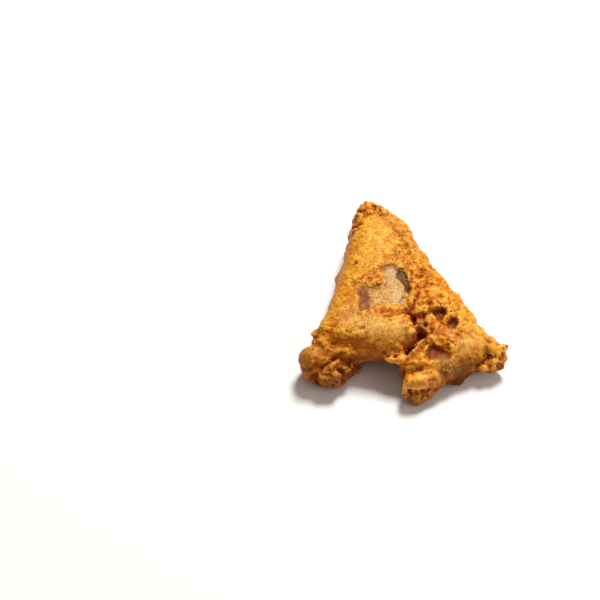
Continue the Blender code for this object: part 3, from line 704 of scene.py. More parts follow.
def egg(middle, half, turn, grid):
    """A ball of longitude u and latitude v, scaled to its half sizes, turned about Z and set in its place."""
    u, v = ball_grid(*grid)
    x = half[0] * np.cos(v) * np.cos(u)
    y = half[1] * np.cos(v) * np.sin(u)
    z = half[2] * np.sin(v)
    c, s = math.cos(math.radians(turn)), math.sin(math.radians(turn))
    return np.stack([x * c - y * s, x * s + y * c, z], axis=-1).reshape(-1, 3) + middle


def one_skin(mesh, voxel, smoothing):
    """The mesh wrapped in one even skin of the given voxel size in millimetres, then smoothed."""
    obj = new_object("skin", mesh)
    remesh = obj.modifiers.new("one skin", "REMESH")
    remesh.mode = "VOXEL"
    remesh.voxel_size = voxel * MM
    obj.modifiers.new("soft folds", "SMOOTH").iterations = smoothing
    skin = bpy.data.meshes.new_from_object(obj.evaluated_get(bpy.context.evaluated_depsgraph_get()))
    bpy.data.objects.remove(obj)
    return skin


def joined(surfaces, grid):
    """Grids of the same size as one mesh, still overlapping."""
    around, along = grid
    starts = around * along * np.arange(len(surfaces))
    faces = np.vstack([grid_faces(around, along) + start for start in starts])
    return new_mesh("overlapping surfaces", np.vstack(surfaces), faces)


def lobes_with_lumps():
    """The lobes and large eggs blended into one skin, with the lumps of crust joined to it."""
    eggs = [egg(*spec, LOBE_GRID) for spec in EGGS]
    skin = one_skin(joined([cut_lobe(FLAP), cut_lobe(LEG), *eggs], LOBE_GRID), *LOBE_SKIN)
    lumps = joined([egg(*spec, LUMP_GRID) for spec in LUMPS.values()], LUMP_GRID)
    both = bmesh.new()
    both.from_mesh(skin)
    both.from_mesh(lumps)
    both.to_mesh(skin)
    both.free()
    return one_skin(skin, *LUMP_SKIN)


# --------------------------------------------------------------------------------------------------
# Relief


def fold_height(places, path, half_width, height, steepness):
    """Height of one fold: full on its path, and falling off as exp(-(distance / half width)^steepness)."""
    return height * np.exp(-((distance_to_path(places, open_curve(path)) / half_width) ** steepness))


def hollow_depth(plan, outline, depth, wall, floor_rise):
    """Depth in one hollow: it grows from 0 to full across the wall's width, less the floor's rise towards the
    near end."""
    curve = closed_curve(outline)
    inside = smooth_step(-wall / 2, wall / 2, depth_inside(plan, curve))
    return inside * np.maximum(depth - floor_rise * (curve[:, 1].max() - plan[:, 1]), 0.0)


def wandering_plan(points):
    """Place in plan, moved about by three sizes of drift, so that edges drawn on it wander."""
    plan = points[:, :2].copy()
    for reach, size, seed in WANDERING:
        plan += reach * np.stack([drift(points, size, seed), drift(points, size, seed + 1)], axis=1)
    return plan


def facing_up(normals):
    """1 where the normal's Z is 0.3 or more, and falling to 0 where it is -0.2, on the sides."""
    return np.clip(normals[:, 2] * 2.0 + 0.4, 0.0, 1.0)


def cragginess(points, shown):
    """How craggy the crust is, from 0 to 1, with one value on the sides and between the named places."""
    craggy = np.full(len(points), CRAG_BETWEEN)
    for path, half_width, value in CRAGS:
        near = shown * fold_height(points[:, :2], path, half_width, 1.0, 4)
        craggy = craggy * (1.0 - near) + value * near
    return craggy


def coarse_relief(points, normals):
    """How far each point moves: hollows straight down, and folds, grooves and lumps along its normal."""
    plan = wandering_plan(points)
    shown = facing_up(normals)
    folds = shown * sum(fold_height(plan, *fold) for fold in FOLDS.values())
    for path, half_width, depth in GROOVES.values():
        folds -= fold_height(points, path, half_width, depth, 2)
    craggy = cragginess(points, shown)
    patches = patchy(points, *LUMP_PATCHES)
    lumps = craggy * lump_layer(points, *LARGE_LUMPS)
    lumps += craggy * patches * lump_layer(points, *SMALL_LUMPS)
    swell = sum(drift_layer(points, *layer) for layer in SWELLS)
    sides = smooth_step(*SIDE_FACING, normals[:, 2]) * smooth_step(*BEYOND_NEAR_WALLS, points[:, 1])
    swell += sides * (lump_layer(points, *LARGE_SIDE_LUMPS) + drift_layer(points, *SIDE_SWELL))
    swell += sides * patches * lump_layer(points, *SMALL_SIDE_LUMPS)
    moved = normals * (folds + lumps + swell)[:, None]
    moved[:, 2] -= shown * np.max([hollow_depth(plan, *hollow) for hollow in HOLLOWS.values()], axis=0)
    return moved


def fine_relief(points, craggy):
    """Bubbles of the batter, thick in some places and thin in others, granules in the granular places, and
    wrinkles and grain everywhere."""
    rough = 0.12 + 0.88 * craggy
    bubbles = rough * patchy(points, *BUBBLE_PATCHES) * lump_layer(points, *BUBBLES)
    granular = np.max([fold_height(points, *place, 1.0, 4) for place in GRANULAR.values()], axis=0)
    bubbles += granular * lump_layer(points, *GRANULES)
    wrinkles = rough * drift_layer(points, *WRINKLES)
    grain = drift_layer(points, 0.06 + 0.05 * craggy, 0.8, 53) + drift_layer(points, *FINEST_GRAIN)
    return bubbles + wrinkles + grain


# --------------------------------------------------------------------------------------------------
# Masks that the material reads


def spread_out(values, edges, times):
    """Each vertex's value averaged with its neighbours', the given number of times."""
    count = len(values)
    shares = np.bincount(edges.ravel(), minlength=count) + 1.0
    for _ in range(times):
        total = values + np.bincount(edges[:, 0], values[edges[:, 1]], count)
        total += np.bincount(edges[:, 1], values[edges[:, 0]], count)
        values = total / shares
    return values


def hollowness(points, normals, edges, times, depth):
    """How far each vertex lies below the average of its surroundings along its normal, from 0 on a peak
    through 0.5 on a plane to 1 in a dent, over the given depth in millimetres."""
    averages = np.stack([spread_out(points[:, axis], edges, times) for axis in range(3)], axis=1)
    return np.clip(0.5 + np.sum((averages - points) * normals, axis=1) / depth, 0.0, 1.0)


def inside_hollow(plan, name, low, high):
    """1 inside a hollow's outline and 0 outside it, blended from a low to a high distance inside."""
    return smooth_step(low, high, depth_inside(plan, closed_curve(HOLLOWS[name][0])))


def crater_shade(plan, name):
    """0 outside a crater, and inside it rising from about 0 at its near end to 1 at its far end."""
    far = np.array(HOLLOWS[name][0])[:, 1]
    return inside_hollow(plan, name, -0.5, 0.4) * smooth_step(far.min() - 1.0, far.max(), plan[:, 1])


def masks(points, normals, edges, craggy):
    """Named fields over the crust, from 0 to about 1."""
    plan = wandering_plan(points)
    shown = facing_up(normals)
    fields = {
        "fine_hollow": hollowness(points, normals, edges, 3, 0.12),
        "broad_hollow": hollowness(points, normals, edges, 24, 0.8),
        "bare": inside_hollow(plan, "bare patch", -1.4, 1.2) * shown,
        "slit": inside_hollow(plan, "slit", -0.8, 0.4) * shown,
        "crevice": np.max([inside_hollow(plan, name, -1.0, 0.6) for name in GAPS], axis=0),
        "pits": np.max([crater_shade(plan, name) for name in PITS], axis=0),
        "side": smooth_step(0.97, 0.25, normals[:, 2]),
        "low": smooth_step(*LOW, points[:, 2]),
        "lower": smooth_step(*LOWER, points[:, 2]),
        "craggy": craggy,
    }
    for name, patches in STAINS.items():
        fields[name] = shown * np.max([fold_height(plan, *stain, 3) for stain in patches], axis=0)
    fields["side"] *= 1.0 - 0.8 * fields["cream"]
    for name, (path, half_width) in MARKS.items():
        fields[name] = fold_height(points, path, half_width, 1.0, 4)
    return fields


def build_crust(shape):
    """The crust's mesh, with its masks as attributes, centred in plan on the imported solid."""
    skin = lobes_with_lumps()
    points, normals = places_and_normals(skin)
    move_vertices(skin, points + coarse_relief(points, normals))
    skin = one_skin(skin, shape.skin_voxel / MM, CRUST_SMOOTHING)
    points, normals = places_and_normals(skin)
    craggy = cragginess(points, facing_up(normals))
    points += normals * fine_relief(points, craggy)[:, None]
    points[:, 2] = np.maximum(points[:, 2], 0.0)
    move_vertices(skin, points)
    normals = vectors(skin.vertex_normals, "vector")
    edges = np.empty(len(skin.edges) * 2, dtype=np.int64)
    skin.edges.foreach_get("vertices", edges)
    for name, values in masks(points, normals, edges.reshape(-1, 2), craggy).items():
        store_values(skin, name, values)
    low, high = points.min(axis=0), points.max(axis=0)
    centring = np.array((FRAME_BOX[0] + FRAME_BOX[1]) / 2)[:2] / MM - (low[:2] + high[:2]) / 2
    points[:, :2] += centring
    skin["centring"] = centring.tolist()
    move_vertices(skin, points)
    skin.shade_smooth()
    return skin


# --------------------------------------------------------------------------------------------------
# Bits that lie on the crust


def closed_ball(around, rings):
    """A closed ball of radius 1: one point at each pole and rings of points at equal steps of latitude v
    between them, each at (cos v cos u, cos v sin u, sin v), with longitude u."""
    u = np.linspace(0.0, math.tau, around, endpoint=False)
    v = np.linspace(-math.pi / 2, math.pi / 2, rings + 2)[1:-1]
    v, u = (grid.ravel() for grid in np.meshgrid(v, u, indexing="ij"))
    points = np.stack([np.cos(v) * np.cos(u), np.cos(v) * np.sin(u), np.sin(v)], axis=1)
    points = np.vstack([points, [(0.0, 0.0, -1.0), (0.0, 0.0, 1.0)]])
    i = np.arange(around)
    right = (i + 1) % around
    top = around * (rings - 1)
    south = np.stack([right, i, np.full(around, around * rings)], axis=1)
    north = np.stack([top + i, top + right, np.full(around, around * rings + 1)], axis=1)
    row, column = (grid.ravel() for grid in np.meshgrid(np.arange(rings - 1), i, indexing="ij"))
    a = row * around + column
    b = row * around + (column + 1) % around
    band = np.vstack([np.stack([a, b, b + around], axis=1), np.stack([a, b + around, a + around], axis=1)])
    return points, np.vstack([south, north, band])


def chips(places, normals, widths, shape, raggedness, sink, seed):
    """Points and faces of one chip at each place. A chip is a closed ball whose points are drawn in or out at
    random by the raggedness, scaled to width * shape, spun at random about the surface's normal, and moved
    down along that normal by sink * width."""
    ball, faces = closed_ball(*BIT_GRID)
    count = len(places)
    draw = np.random.default_rng(seed)
    reach = 1.0 + raggedness * draw.uniform(-1.0, 1.0, (count, len(ball)))
    local = ball[None] * reach[..., None] * (widths[:, None] / 2 * np.array(shape))[:, None]
    across = np.cross(normals, draw.normal(size=(count, 3)))
    across /= np.linalg.norm(across, axis=1, keepdims=True)
    frames = np.stack([across, np.cross(normals, across), normals], axis=1)
    points = np.einsum("cpi,cij->cpj", local, frames) + (places - normals * (sink * widths)[:, None])[:, None]
    starts = len(ball) * np.arange(count)[:, None, None]
    return points.reshape(-1, 3), (faces[None] + starts).reshape(-1, 3)


def spots_on_crust(crust, count, likelihood, seed, named):
    """Places and normals for bits: the crust's points that face up nearest to the named places in plan, and
    then random points, picked as often as the likelihood says."""
    points, normals = places_and_normals(crust)
    plan = points[:, :2] - np.array(crust["centring"])
    away = np.where(normals[:, 2] > 0.3, 0.0, np.inf)
    picked = [int(np.argmin(np.linalg.norm(plan - place, axis=1) + away)) for place in named]
    weights = likelihood(points, normals)
    draw = np.random.default_rng(seed)
    others = draw.choice(len(points), count, replace=False, p=weights / weights.sum())
    picked = np.concatenate([np.array(picked, dtype=np.int64), others])
    return points[picked], normals[picked]


def uneven_widths(count, middle, spread, seed):
    """Random widths about a middle one, in millimetres. Their logarithm is normal, within 2 spreads."""
    draws = np.clip(np.random.default_rng(seed).normal(size=count), -2.0, 2.0)
    return middle / MM * np.exp(spread * draws)


def lay_bits(name, count, width, likelihood, stops, named=()):
    """One piece made of a chip at each spot, each with a random tone that its material reads."""
    kind = BITS[name]
    seed = kind["seed"]
    places, normals = spots_on_crust(bpy.data.objects[CRUST].data, count, likelihood, seed, named)
    widths = uneven_widths(len(places), width, kind["spread"], seed + 1)
    points, faces = chips(places, normals, widths, kind["shape"], kind["raggedness"], kind["sink"], seed + 2)
    mesh = new_mesh(name, points, faces)
    tones = np.random.default_rng(seed + 3).uniform(0.0, 1.0, len(widths))
    store_values(mesh, "tone", np.repeat(tones, len(points) // len(widths)))
    mesh.shade_smooth()
    mesh.materials.append(bit_material(kind["material"], stops, kind["roughness"], kind["bump"]))
    piece = new_object(name, mesh)
    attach(piece, "root")


# --------------------------------------------------------------------------------------------------
# Materials


class NodeSheet:
    """Adds shader nodes to a material and links them."""

    def __init__(self, name):
        self.material = bpy.data.materials.new(name)
        self.material.use_nodes = True
        self.tree = self.material.node_tree
        self.shader = self.tree.nodes["Principled BSDF"]
        self.place = None

    def node(self, kind, **values):
        """A node with its settings and the defaults of its sockets, with _ for each space of their names."""
        made = self.tree.nodes.new(kind)
        for key, value in values.items():
            if hasattr(made, key):
                setattr(made, key, value)
            else:
                made.inputs[key.replace("_", " ")].default_value = value
        return made

    def link(self, source, target):
        """Links a node's output to an input."""
        self.tree.links.new(source, target)

    def finish(self, **values):
        """Sets the shader's own sockets, with _ for each space of their names."""
        for key, value in values.items():
            self.shader.inputs[key.replace("_", " ")].default_value = value

    def mask(self, name):
        """The value of a mask on the surface."""
        return self.node("ShaderNodeAttribute", attribute_name=name).outputs["Fac"]

    def texture(self, kind, size, **values):
        """A texture on Object coordinates with features of the given size in millimetres."""
        if self.place is None:
            self.place = self.node("ShaderNodeTexCoord").outputs["Object"]
        made = self.node(kind, Scale=1.0 / (size * MM), **values)
        self.link(self.place, made.inputs["Vector"])
        return made

    def noise(self, size, detail, roughness=0.6):
        """Fractal noise."""
        return self.texture("ShaderNodeTexNoise", size, Detail=detail, Roughness=roughness).outputs["Fac"]

    def grains(self, size):
        """A random value for each of many packed grains."""
        made = self.texture("ShaderNodeTexVoronoi", size)
        split = self.node("ShaderNodeSeparateColor")
        self.link(made.outputs["Color"], split.inputs["Color"])
        return split.outputs["Red"]

    def ramp(self, factor, stops):
        """A colour ramp from (position, colour) pairs."""
        made = self.node("ShaderNodeValToRGB")
        elements = made.color_ramp.elements
        while len(elements) < len(stops):
            elements.new(1.0)
        for element, (position, tint) in zip(elements, stops):
            element.position = position
            element.color = (*tint, 1.0)
        self.link(factor, made.inputs["Fac"])
        return made.outputs["Color"]

    def span(self, value, low, high, to_low=0.0, to_high=1.0):
        """The value carried from one range to another, and clamped there."""
        ends = {"From_Min": low, "From_Max": high, "To_Min": to_low, "To_Max": to_high}
        made = self.node("ShaderNodeMapRange", **ends)
        self.link(value, made.inputs["Value"])
        return made.outputs["Result"]

    def math(self, operation, a, b):
        """One arithmetic step on two values, each a socket or a number."""
        made = self.node("ShaderNodeMath", operation=operation)
        for socket, value in zip(made.inputs, (a, b)):
            if isinstance(value, (int, float)):
                socket.default_value = value
            else:
                self.link(value, socket)
        return made.outputs["Value"]

    def times(self, a, b):
        """The product of two values."""
        return self.math("MULTIPLY", a, b)

    def plus(self, a, b):
        """The sum of two values."""
        return self.math("ADD", a, b)

    def mix(self, factor, a, b, blend="MIX"):
        """Two colours mixed by a factor; each is a socket or a colour."""
        made = self.node("ShaderNodeMix", data_type="RGBA", blend_type=blend)
        sockets = [made.inputs[0], made.inputs[6], made.inputs[7]]
        for socket, value in zip(sockets, (factor, a, b)):
            if isinstance(value, (int, float)):
                socket.default_value = value
            elif isinstance(value, tuple):
                socket.default_value = (*value, 1.0)
            else:
                self.link(value, socket)
        return made.outputs[2]

    def bump(self, height, strength, depth):
        """Bumps from a height, with their depth in millimetres."""
        made = self.node("ShaderNodeBump", Strength=strength, Distance=depth * MM)
        self.link(height, made.inputs["Height"])
        self.link(made.outputs["Normal"], self.shader.inputs["Normal"])


def ramp_stops(settings, *stops):
    """Stops of a colour ramp from (position, name of a colour in the settings) pairs."""
    return [(position, tuple(getattr(settings, name))) for position, name in stops]


class CrustSheet(NodeSheet):
    """The fried crust's material, whose colour is laid on coat by coat. Its coats share broad blotches, fine
    mottles, rougher flecks and packed grains of meal."""

    def __init__(self, colours):
        super().__init__("fried_crust")
        self.colours = colours
        self.blotches = self.noise(4.5, 3.0)
        self.mottles = self.noise(0.8, 4.0, 0.75)
        self.flecks = self.noise(0.9, 4.0, 0.8)
        self.meal = self.grains(0.46)
        self.colour = None

    def tints(self, factor, *stops):
        """A colour ramp from (position, name of a colour) pairs."""
        return self.ramp(factor, ramp_stops(self.colours, *stops))

    def coat(self, where, share, top):
        """Lays a share of a colour, given as a name or a socket, over the others where a value is high."""
        if isinstance(top, str):
            top = tuple(getattr(self.colours, top))
        self.colour = self.mix(self.times(where, share), self.colour, top)

    def torn_mask(self, name, unevenness, edge):
        """A mask whose edge is torn by an uneven value. It stays 0 where the mask is 0."""
        torn = self.span(self.plus(self.mask(name), unevenness), 0.3, 0.75)
        return self.times(torn, self.span(self.mask(name), 0.0, edge))


def batter_coats(sheet):
    """Blotches and mottles from orange through gold to cream, and stains broken up by the mottles."""
    tone = sheet.plus(sheet.times(sheet.blotches, 0.5), sheet.times(sheet.mottles, 0.5))
    sheet.colour = sheet.tints(tone, (0.40, "orange"), (0.50, "gold"), (0.62, "cream"))
    # Some of these stains are painted light and painted shade.
    for name, share in (("cream", 0.6), ("orange", 0.8), ("tan", 0.7), ("rust", 0.85), ("umber", 0.85)):
        sheet.coat(sheet.times(sheet.mask(name), sheet.span(sheet.mottles, 0.35, 0.6, 0.6, 1.1)), share, name)


def browning_and_painted_light_coats(sheet):
    """Orange, toasted and brown down the sides and to the floor, painted shade over browner crust; a shaded
    place and the knob's dark front, painted shade; and the lumps' painted light.
    """
    baked_and_shaded = sheet.span(sheet.noise(7.0, 3.0), 0.35, 0.65, 1.0, 0.6)
    sheet.coat(sheet.mask("lower"), 0.35, "orange")
    # Painted shade: the sides darken and redden as they face less upwards, over crust that is browner there.
    sheet.coat(sheet.times(sheet.mask("side"), baked_and_shaded), 0.9, "toasted_and_shade")
    # Painted shade near the floor, over the browner underside.
    sheet.coat(sheet.mask("low"), 0.6, "toasted_and_shade")
    sheet.coat(sheet.span(sheet.mask("low"), 0.35, 0.9), 0.9, "brown")
    sheet.coat(sheet.mask("shaded"), 0.9, "shade")
    # Painted shade on the knob's front, over crust that is browner there.
    sheet.coat(sheet.mask("dark_knob"), 0.94, "brown")
    # Painted light on lumps that stand out.
    for name, share in (("lit", 1.0), ("lit_corner", 1.0), ("lit_lump", 0.9), ("lit_dome", 0.12)):
        sheet.coat(sheet.mask(name), share, "lit")


def relief_coats(sheet):
    """Painted shade in dents, orange, rust and then brown towards their bottoms and most on craggy crust,
    over darker crust; and cream on peaks, a painted highlight.
    """
    span, mask = sheet.span, sheet.mask
    dent = sheet.times(mask("broad_hollow"), span(mask("craggy"), 0.0, 0.4, 0.7, 1.0))
    above = span(mask("side"), 0.0, 1.0, 1.0, 0.3)
    # Painted shade in the dents, over crust that is darker there.
    sheet.coat(sheet.times(span(dent, 0.48, 0.66), above), 0.6, "orange")
    sheet.coat(span(dent, 0.58, 0.82), 0.75, "rust")
    sheet.coat(span(dent, 0.74, 0.98), 0.9, "brown")
    # Painted highlight on the peaks.
    sheet.coat(sheet.times(span(mask("broad_hollow"), 0.46, 0.22), above), 0.6, "cream")


def meal_coats(sheet):
    """Pale grains of meal in drifts, which are also painted glints, few on the sides and warmer on craggy
    crust, and large orange grains.
    """
    span, mask, times = sheet.span, sheet.mask, sheet.times
    specks = times(span(sheet.meal, 0.67, 0.93), span(sheet.noise(2.8, 2.0), 0.38, 0.6, 0.25, 1.0))
    specks = times(specks, span(mask("side"), 0.0, 0.5, 1.0, 0.1))
    specks = times(specks, span(mask("lower"), 0.0, 1.0, 1.0, 0.25))
    on_crags = span(mask("craggy"), 0.0, 0.6)
    # The pale specks are also painted glints.
    sheet.coat(times(specks, sheet.math("SUBTRACT", 1.0, on_crags)), 0.75, "speck")
    sheet.coat(times(specks, on_crags), 0.6, "lit")
    sheet.coat(span(sheet.grains(0.8), 0.16, 0.08), 0.6, "orange")


def bare_patch_coats(sheet):
    """The bare patch with its grains, smudges, painted shadow under the ledge and pale side, and the dark
    slit in it, painted shade over grey skin.
    """
    span, mask, times = sheet.span, sheet.mask, sheet.times
    uneven = span(sheet.noise(1.8, 4.0, 0.7), 0.3, 0.7, -0.5, 0.5)
    bare = sheet.torn_mask("bare", uneven, 0.2)
    skin = sheet.tints(sheet.flecks, (0.38, "bare_low"), (0.50, "bare"), (0.60, "bare_high"))
    sheet.coat(bare, 0.9, skin)
    sheet.coat(times(bare, span(sheet.meal, 0.68, 0.82)), 0.65, "gold")
    sheet.coat(times(bare, span(sheet.meal, 0.14, 0.06)), 0.6, "orange")
    sheet.coat(times(bare, mask("umber")), 0.9, "umber")
    # Painted shadow under the ledge, and an olive-brown smudge.
    sheet.coat(times(mask("smudge"), span(sheet.mottles, 0.3, 0.6, 0.7, 1.1)), 0.9, "smudge")
    sheet.coat(times(mask("pale"), span(sheet.flecks, 0.4, 0.56, 0.4, 1.0)), 0.9, "pale")
    # The slit's dark colour is painted shade under the crust's lip, over grey skin.
    ragged = sheet.plus(times(uneven, 0.8), span(sheet.flecks, 0.35, 0.65, -0.45, 0.45))
    streaks = sheet.tints(sheet.noise(1.4, 4.0, 0.7), (0.4, "slit"), (0.62, "slit_light"))
    sheet.coat(sheet.torn_mask("slit", ragged, 0.15), 0.95, streaks)


def dark_coats(sheet):
    """Craters that darken towards their far ends, painted shade over dark crust; stained dents; brown marks,
    mostly painted shade; the flake; and the crevice, painted shade over dark crust.
    """
    span, mask, times = sheet.span, sheet.mask, sheet.times
    # Painted shade on the craters' far walls, over their own dark red-brown crust.
    floors = sheet.tints(mask("pits"), (0.3, "pit_floor"), (0.75, "pit"))
    sheet.coat(span(mask("pits"), 0.0, 0.3), 0.85, floors)
    # Mauve stains; the one on the shelf is painted shade.
    stained = times(mask("mauve"), span(sheet.blotches, 0.3, 0.6, 0.6, 1.2))
    sheet.coat(times(stained, span(sheet.flecks, 0.35, 0.6, 1.2, 0.75)), 0.95, "mauve")
    # Painted shade in grooves, under overhangs and along the slit.
    sheet.coat(mask("brown"), 0.8, "brown")
    sheet.coat(mask("flake"), 0.95, "burnt")
    # Painted shade in the gaps, over dark brown crust.
    sheet.coat(mask("crevice"), 0.95, "crevice")


def crust_material(colours):
    """Fried crust: its coats of colour, paler on fine peaks as a painted highlight and darker and redder in
    fine dents as painted shade, on a surface that is oily in places."""
    sheet = CrustSheet(colours)
    for coats in (batter_coats, browning_and_painted_light_coats, relief_coats, meal_coats, bare_patch_coats, dark_coats):
        coats(sheet)
    # Painted highlight on fine peaks and painted shade in fine dents.
    depth_tints = sheet.ramp(sheet.mask("fine_hollow"), DEPTH_TINTS)
    sheet.link(sheet.mix(1.0, sheet.colour, depth_tints, "MULTIPLY"), sheet.shader.inputs["Base Color"])
    sheet.link(sheet.span(sheet.noise(1.6, 3.0), 0.35, 0.65, 0.26, 0.5), sheet.shader.inputs["Roughness"])
    sheet.finish(Specular_IOR_Level=0.14, Specular_Tint=(1.0, 0.78, 0.40, 1.0))
    sheet.finish(Subsurface_Weight=0.6, Subsurface_Radius=(1.0, 0.35, 0.1), Subsurface_Scale=1.4 * MM)
    sheet.bump(sheet.plus(sheet.times(sheet.meal, 0.35), sheet.noise(0.5, 3.0)), 0.5, 0.2)
    return sheet.material


def bit_material(name, stops, roughness, bump_depth):
    """Bits whose tone picks their colour from a ramp, mottled with noise at a third of a millimetre."""
    sheet = NodeSheet(name)
    mottle = sheet.noise(0.35, 2.0)
    tone = sheet.plus(sheet.mask("tone"), sheet.span(mottle, 0.3, 0.7, -0.12, 0.12))
    sheet.link(sheet.ramp(tone, stops), sheet.shader.inputs["Base Color"])
    sheet.finish(Roughness=roughness, Specular_IOR_Level=0.3)
    sheet.bump(mottle, 0.6, bump_depth)
    return sheet.material


# --------------------------------------------------------------------------------------------------
# Settings


def colour(name, description, value):
    """A colour property."""
    limits = {"min": 0.0, "max": 1.0}
    return FloatVectorProperty(name=name, description=description, default=value, subtype="COLOR", **limits)


def length(name, description, value):
    """A length property, with its default given in millimetres."""
    return FloatProperty(name=name, description=description, default=value * MM, unit="LENGTH")


def amount(name, description, value):
    """A property that counts things."""
    return IntProperty(name=name, description=description, default=value, min=0)


class NuggetShape(bpy.types.PropertyGroup):
    """How finely the crust is modelled."""

    skin_voxel: length("Skin detail", "Width of the crust's faces", 0.395)


class NuggetColours(bpy.types.PropertyGroup):
    """Colours of the crust."""

    # The palest meal grains, which are also painted glints.
    speck: colour("Speck", "Palest meal grains of the crust", (0.97, 0.72, 0.16))
    # The crust's paler colour, and a painted highlight on peaks, on the finger and on the corner lumps.
    cream: colour("Cream", "Peaks of the crust", (0.79, 0.43, 0.052))
    gold: colour("Gold", "Most of the crust", (0.65, 0.260, 0.007))
    orange: colour("Orange", "Deeper parts of the crust", (0.50, 0.115, 0.002))
    # Painted light on lumps that stand out; on craggy crust it colours the meal grains, which are also
    # painted glints.
    lit: colour("Lit", "Lumps that stand out, and grains on craggy crust", (1.0, 0.44, 0.080))
    # Painted shade on the sides and lower parts, over crust that is browner there.
    toasted_and_shade: colour("Toasted", "Sides and lower parts", (0.36, 0.058, 0.003))
    tan: colour("Tan", "Smooth swellings", (0.65, 0.37, 0.122))
    umber: colour("Umber", "Grey-brown marks", (0.26, 0.125, 0.045))
    shade: colour("Shade", "Shaded front of the leg", (0.17, 0.052, 0.014))
    # Painted shade in dents and grooves, under overhangs, on the lowest parts and the knob's front, over
    # browner crust.
    brown: colour("Brown", "Deep dents, lowest parts and the knob's front", (0.15, 0.0245, 0.004))
    burnt: colour("Burnt", "Flake under the leg", (0.09, 0.020, 0.005))
    # Painted shade in creases and dents, over redder crust; also the crumbs' darkest tone.
    rust: colour("Rust", "Red-brown creases", (0.34, 0.058, 0.009))
    # Painted shadow under the ledge, and olive-brown smudges of the bare patch.
    smudge: colour("Smudge", "Olive-brown smudges of the bare patch", (0.31, 0.115, 0.016))
    mauve: colour("Mauve", "Stained dent and purplish crusts", (0.22, 0.060, 0.032))
    pale: colour("Pale", "Whitish right side of the bare patch", (0.64, 0.53, 0.35))
    bare: colour("Bare", "Bare patch", (0.51, 0.31, 0.098))
    bare_high: colour("Bare, paler", "Bare patch, palest", (0.76, 0.57, 0.29))
    bare_low: colour("Bare, darker", "Bare patch, mottles", (0.43, 0.19, 0.030))
    # The slit's colours are painted shade under the crust's lip, over grey skin.
    slit: colour("Slit", "Skin in the slit, darker", (0.070, 0.028, 0.012))
    slit_light: colour("Slit, lighter", "Skin in the slit, streaks", (0.16, 0.078, 0.042))
    # The crater colours are painted shade, deepest on the far walls, over dark red-brown crust.
    pit: colour("Crater", "Far walls of the craters", (0.145, 0.022, 0.005))
    pit_floor: colour("Crater floor", "Near ends of the craters", (0.20, 0.045, 0.013))
    # Painted shade in the gaps, over dark brown crust.
    crevice: colour("Crevice", "Deep gap beside the leg", (0.27, 0.045, 0.016))


class NuggetBits(bpy.types.PropertyGroup):
    """How many bits lie on the crust, how wide they are, and their own colours."""

    crumb_count: amount("Crumbs", "Crumbs of crust", 260)
    crumb_width: length("Crumb width", "Middle width of a crumb", 1.3)
    grain_count: amount("Grains", "Grains of meal", 420)
    grain_width: length("Grain width", "Middle width of a grain", 0.45)
    pepper_count: amount("Pepper", "Specks besides the named ones", 34)
    pepper_width: length("Pepper width", "Middle width of a speck", 0.6)
    herb_count: amount("Herbs", "Flecks besides the named ones", 2)
    herb_width: length("Herb width", "Middle width of a fleck", 1.1)
    yellow: colour("Yellow", "Brightest meal grains", (0.86, 0.42, 0.010))
    black: colour("Black", "Pepper, darker", (0.014, 0.008, 0.005))
    bark: colour("Bark", "Pepper, lighter", (0.10, 0.035, 0.012))
    leaf: colour("Leaf", "Herb flecks, greener", (0.36, 0.38, 0.13))
    pith: colour("Pith", "Herb flecks, paler", (0.72, 0.68, 0.42))


class NuggetStage(bpy.types.PropertyGroup):
    """Where the camera stands and looks."""

    elevation: FloatProperty(
        name="Camera elevation", description="How steeply the camera looks down", default=math.radians(50.0),
        subtype="ANGLE",
    )
    distance: length("Camera distance", "From the camera to its target", 622.0)
    target: FloatVectorProperty(
        name="Camera target", description="Where the camera looks, in the frame of the lobes' sizes",
        default=(-37.46 * MM, 1.41 * MM, 10.0 * MM), subtype="XYZ", unit="LENGTH",
    )


# --------------------------------------------------------------------------------------------------
# Operators and panel


class NUGGET_OT_crust(bpy.types.Operator):
    """Model the crust in place of the plain solid"""

    bl_idname = "nugget.crust"
    bl_label = "Crust"

    def execute(self, context):
        scene = context.scene
        crust = new_object(CRUST, build_crust(scene.nugget_shape))
        crust.data.materials.append(crust_material(scene.nugget_colours))
        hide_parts("nugget")
        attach(crust, "root")
        return {"FINISHED"}


class NUGGET_OT_crumbs(bpy.types.Operator):
    """Lay crumbs of crust on the craggy places and grains of meal all over"""

    bl_idname = "nugget.crumbs"
    bl_label = "Crumbs and grains"

    def execute(self, context):
        amounts, tints = context.scene.nugget_bits, context.scene.nugget_colours
        crust = bpy.data.objects[CRUST].data
        craggy = stored_values(crust, "craggy")
        clear = 1.0 - np.maximum(stored_values(crust, "bare"), stored_values(crust, "pits") > 0.0)

        def on_crags(points, normals):
            """Rises with the cube of the cragginess, and is 0 near the floor."""
            return np.where(points[:, 2] > 1.5, craggy**3 * clear * facing_up(normals) + 0.002, 0.0)

        def all_over(points, normals):
            """Rises with the cube of how far the crust faces up, and is 0 near the floor."""
            return np.where(points[:, 2] > 0.6, (0.2 + 0.8 * clear) * (0.05 + facing_up(normals)) ** 3, 0.0)

        stops = ramp_stops(tints, (0.1, "rust"), (0.4, "orange"), (0.75, "gold"), (1.0, "cream"))
        lay_bits("crust_crumbs", amounts.crumb_count, amounts.crumb_width, on_crags, stops)
        stops = ramp_stops(tints, (0.1, "orange"), (0.4, "gold"), (0.7, "cream"), (0.9, "speck"))
        stops += ramp_stops(amounts, (1.0, "yellow"))
        lay_bits("meal_grains", amounts.grain_count, amounts.grain_width, all_over, stops)
        return {"FINISHED"}


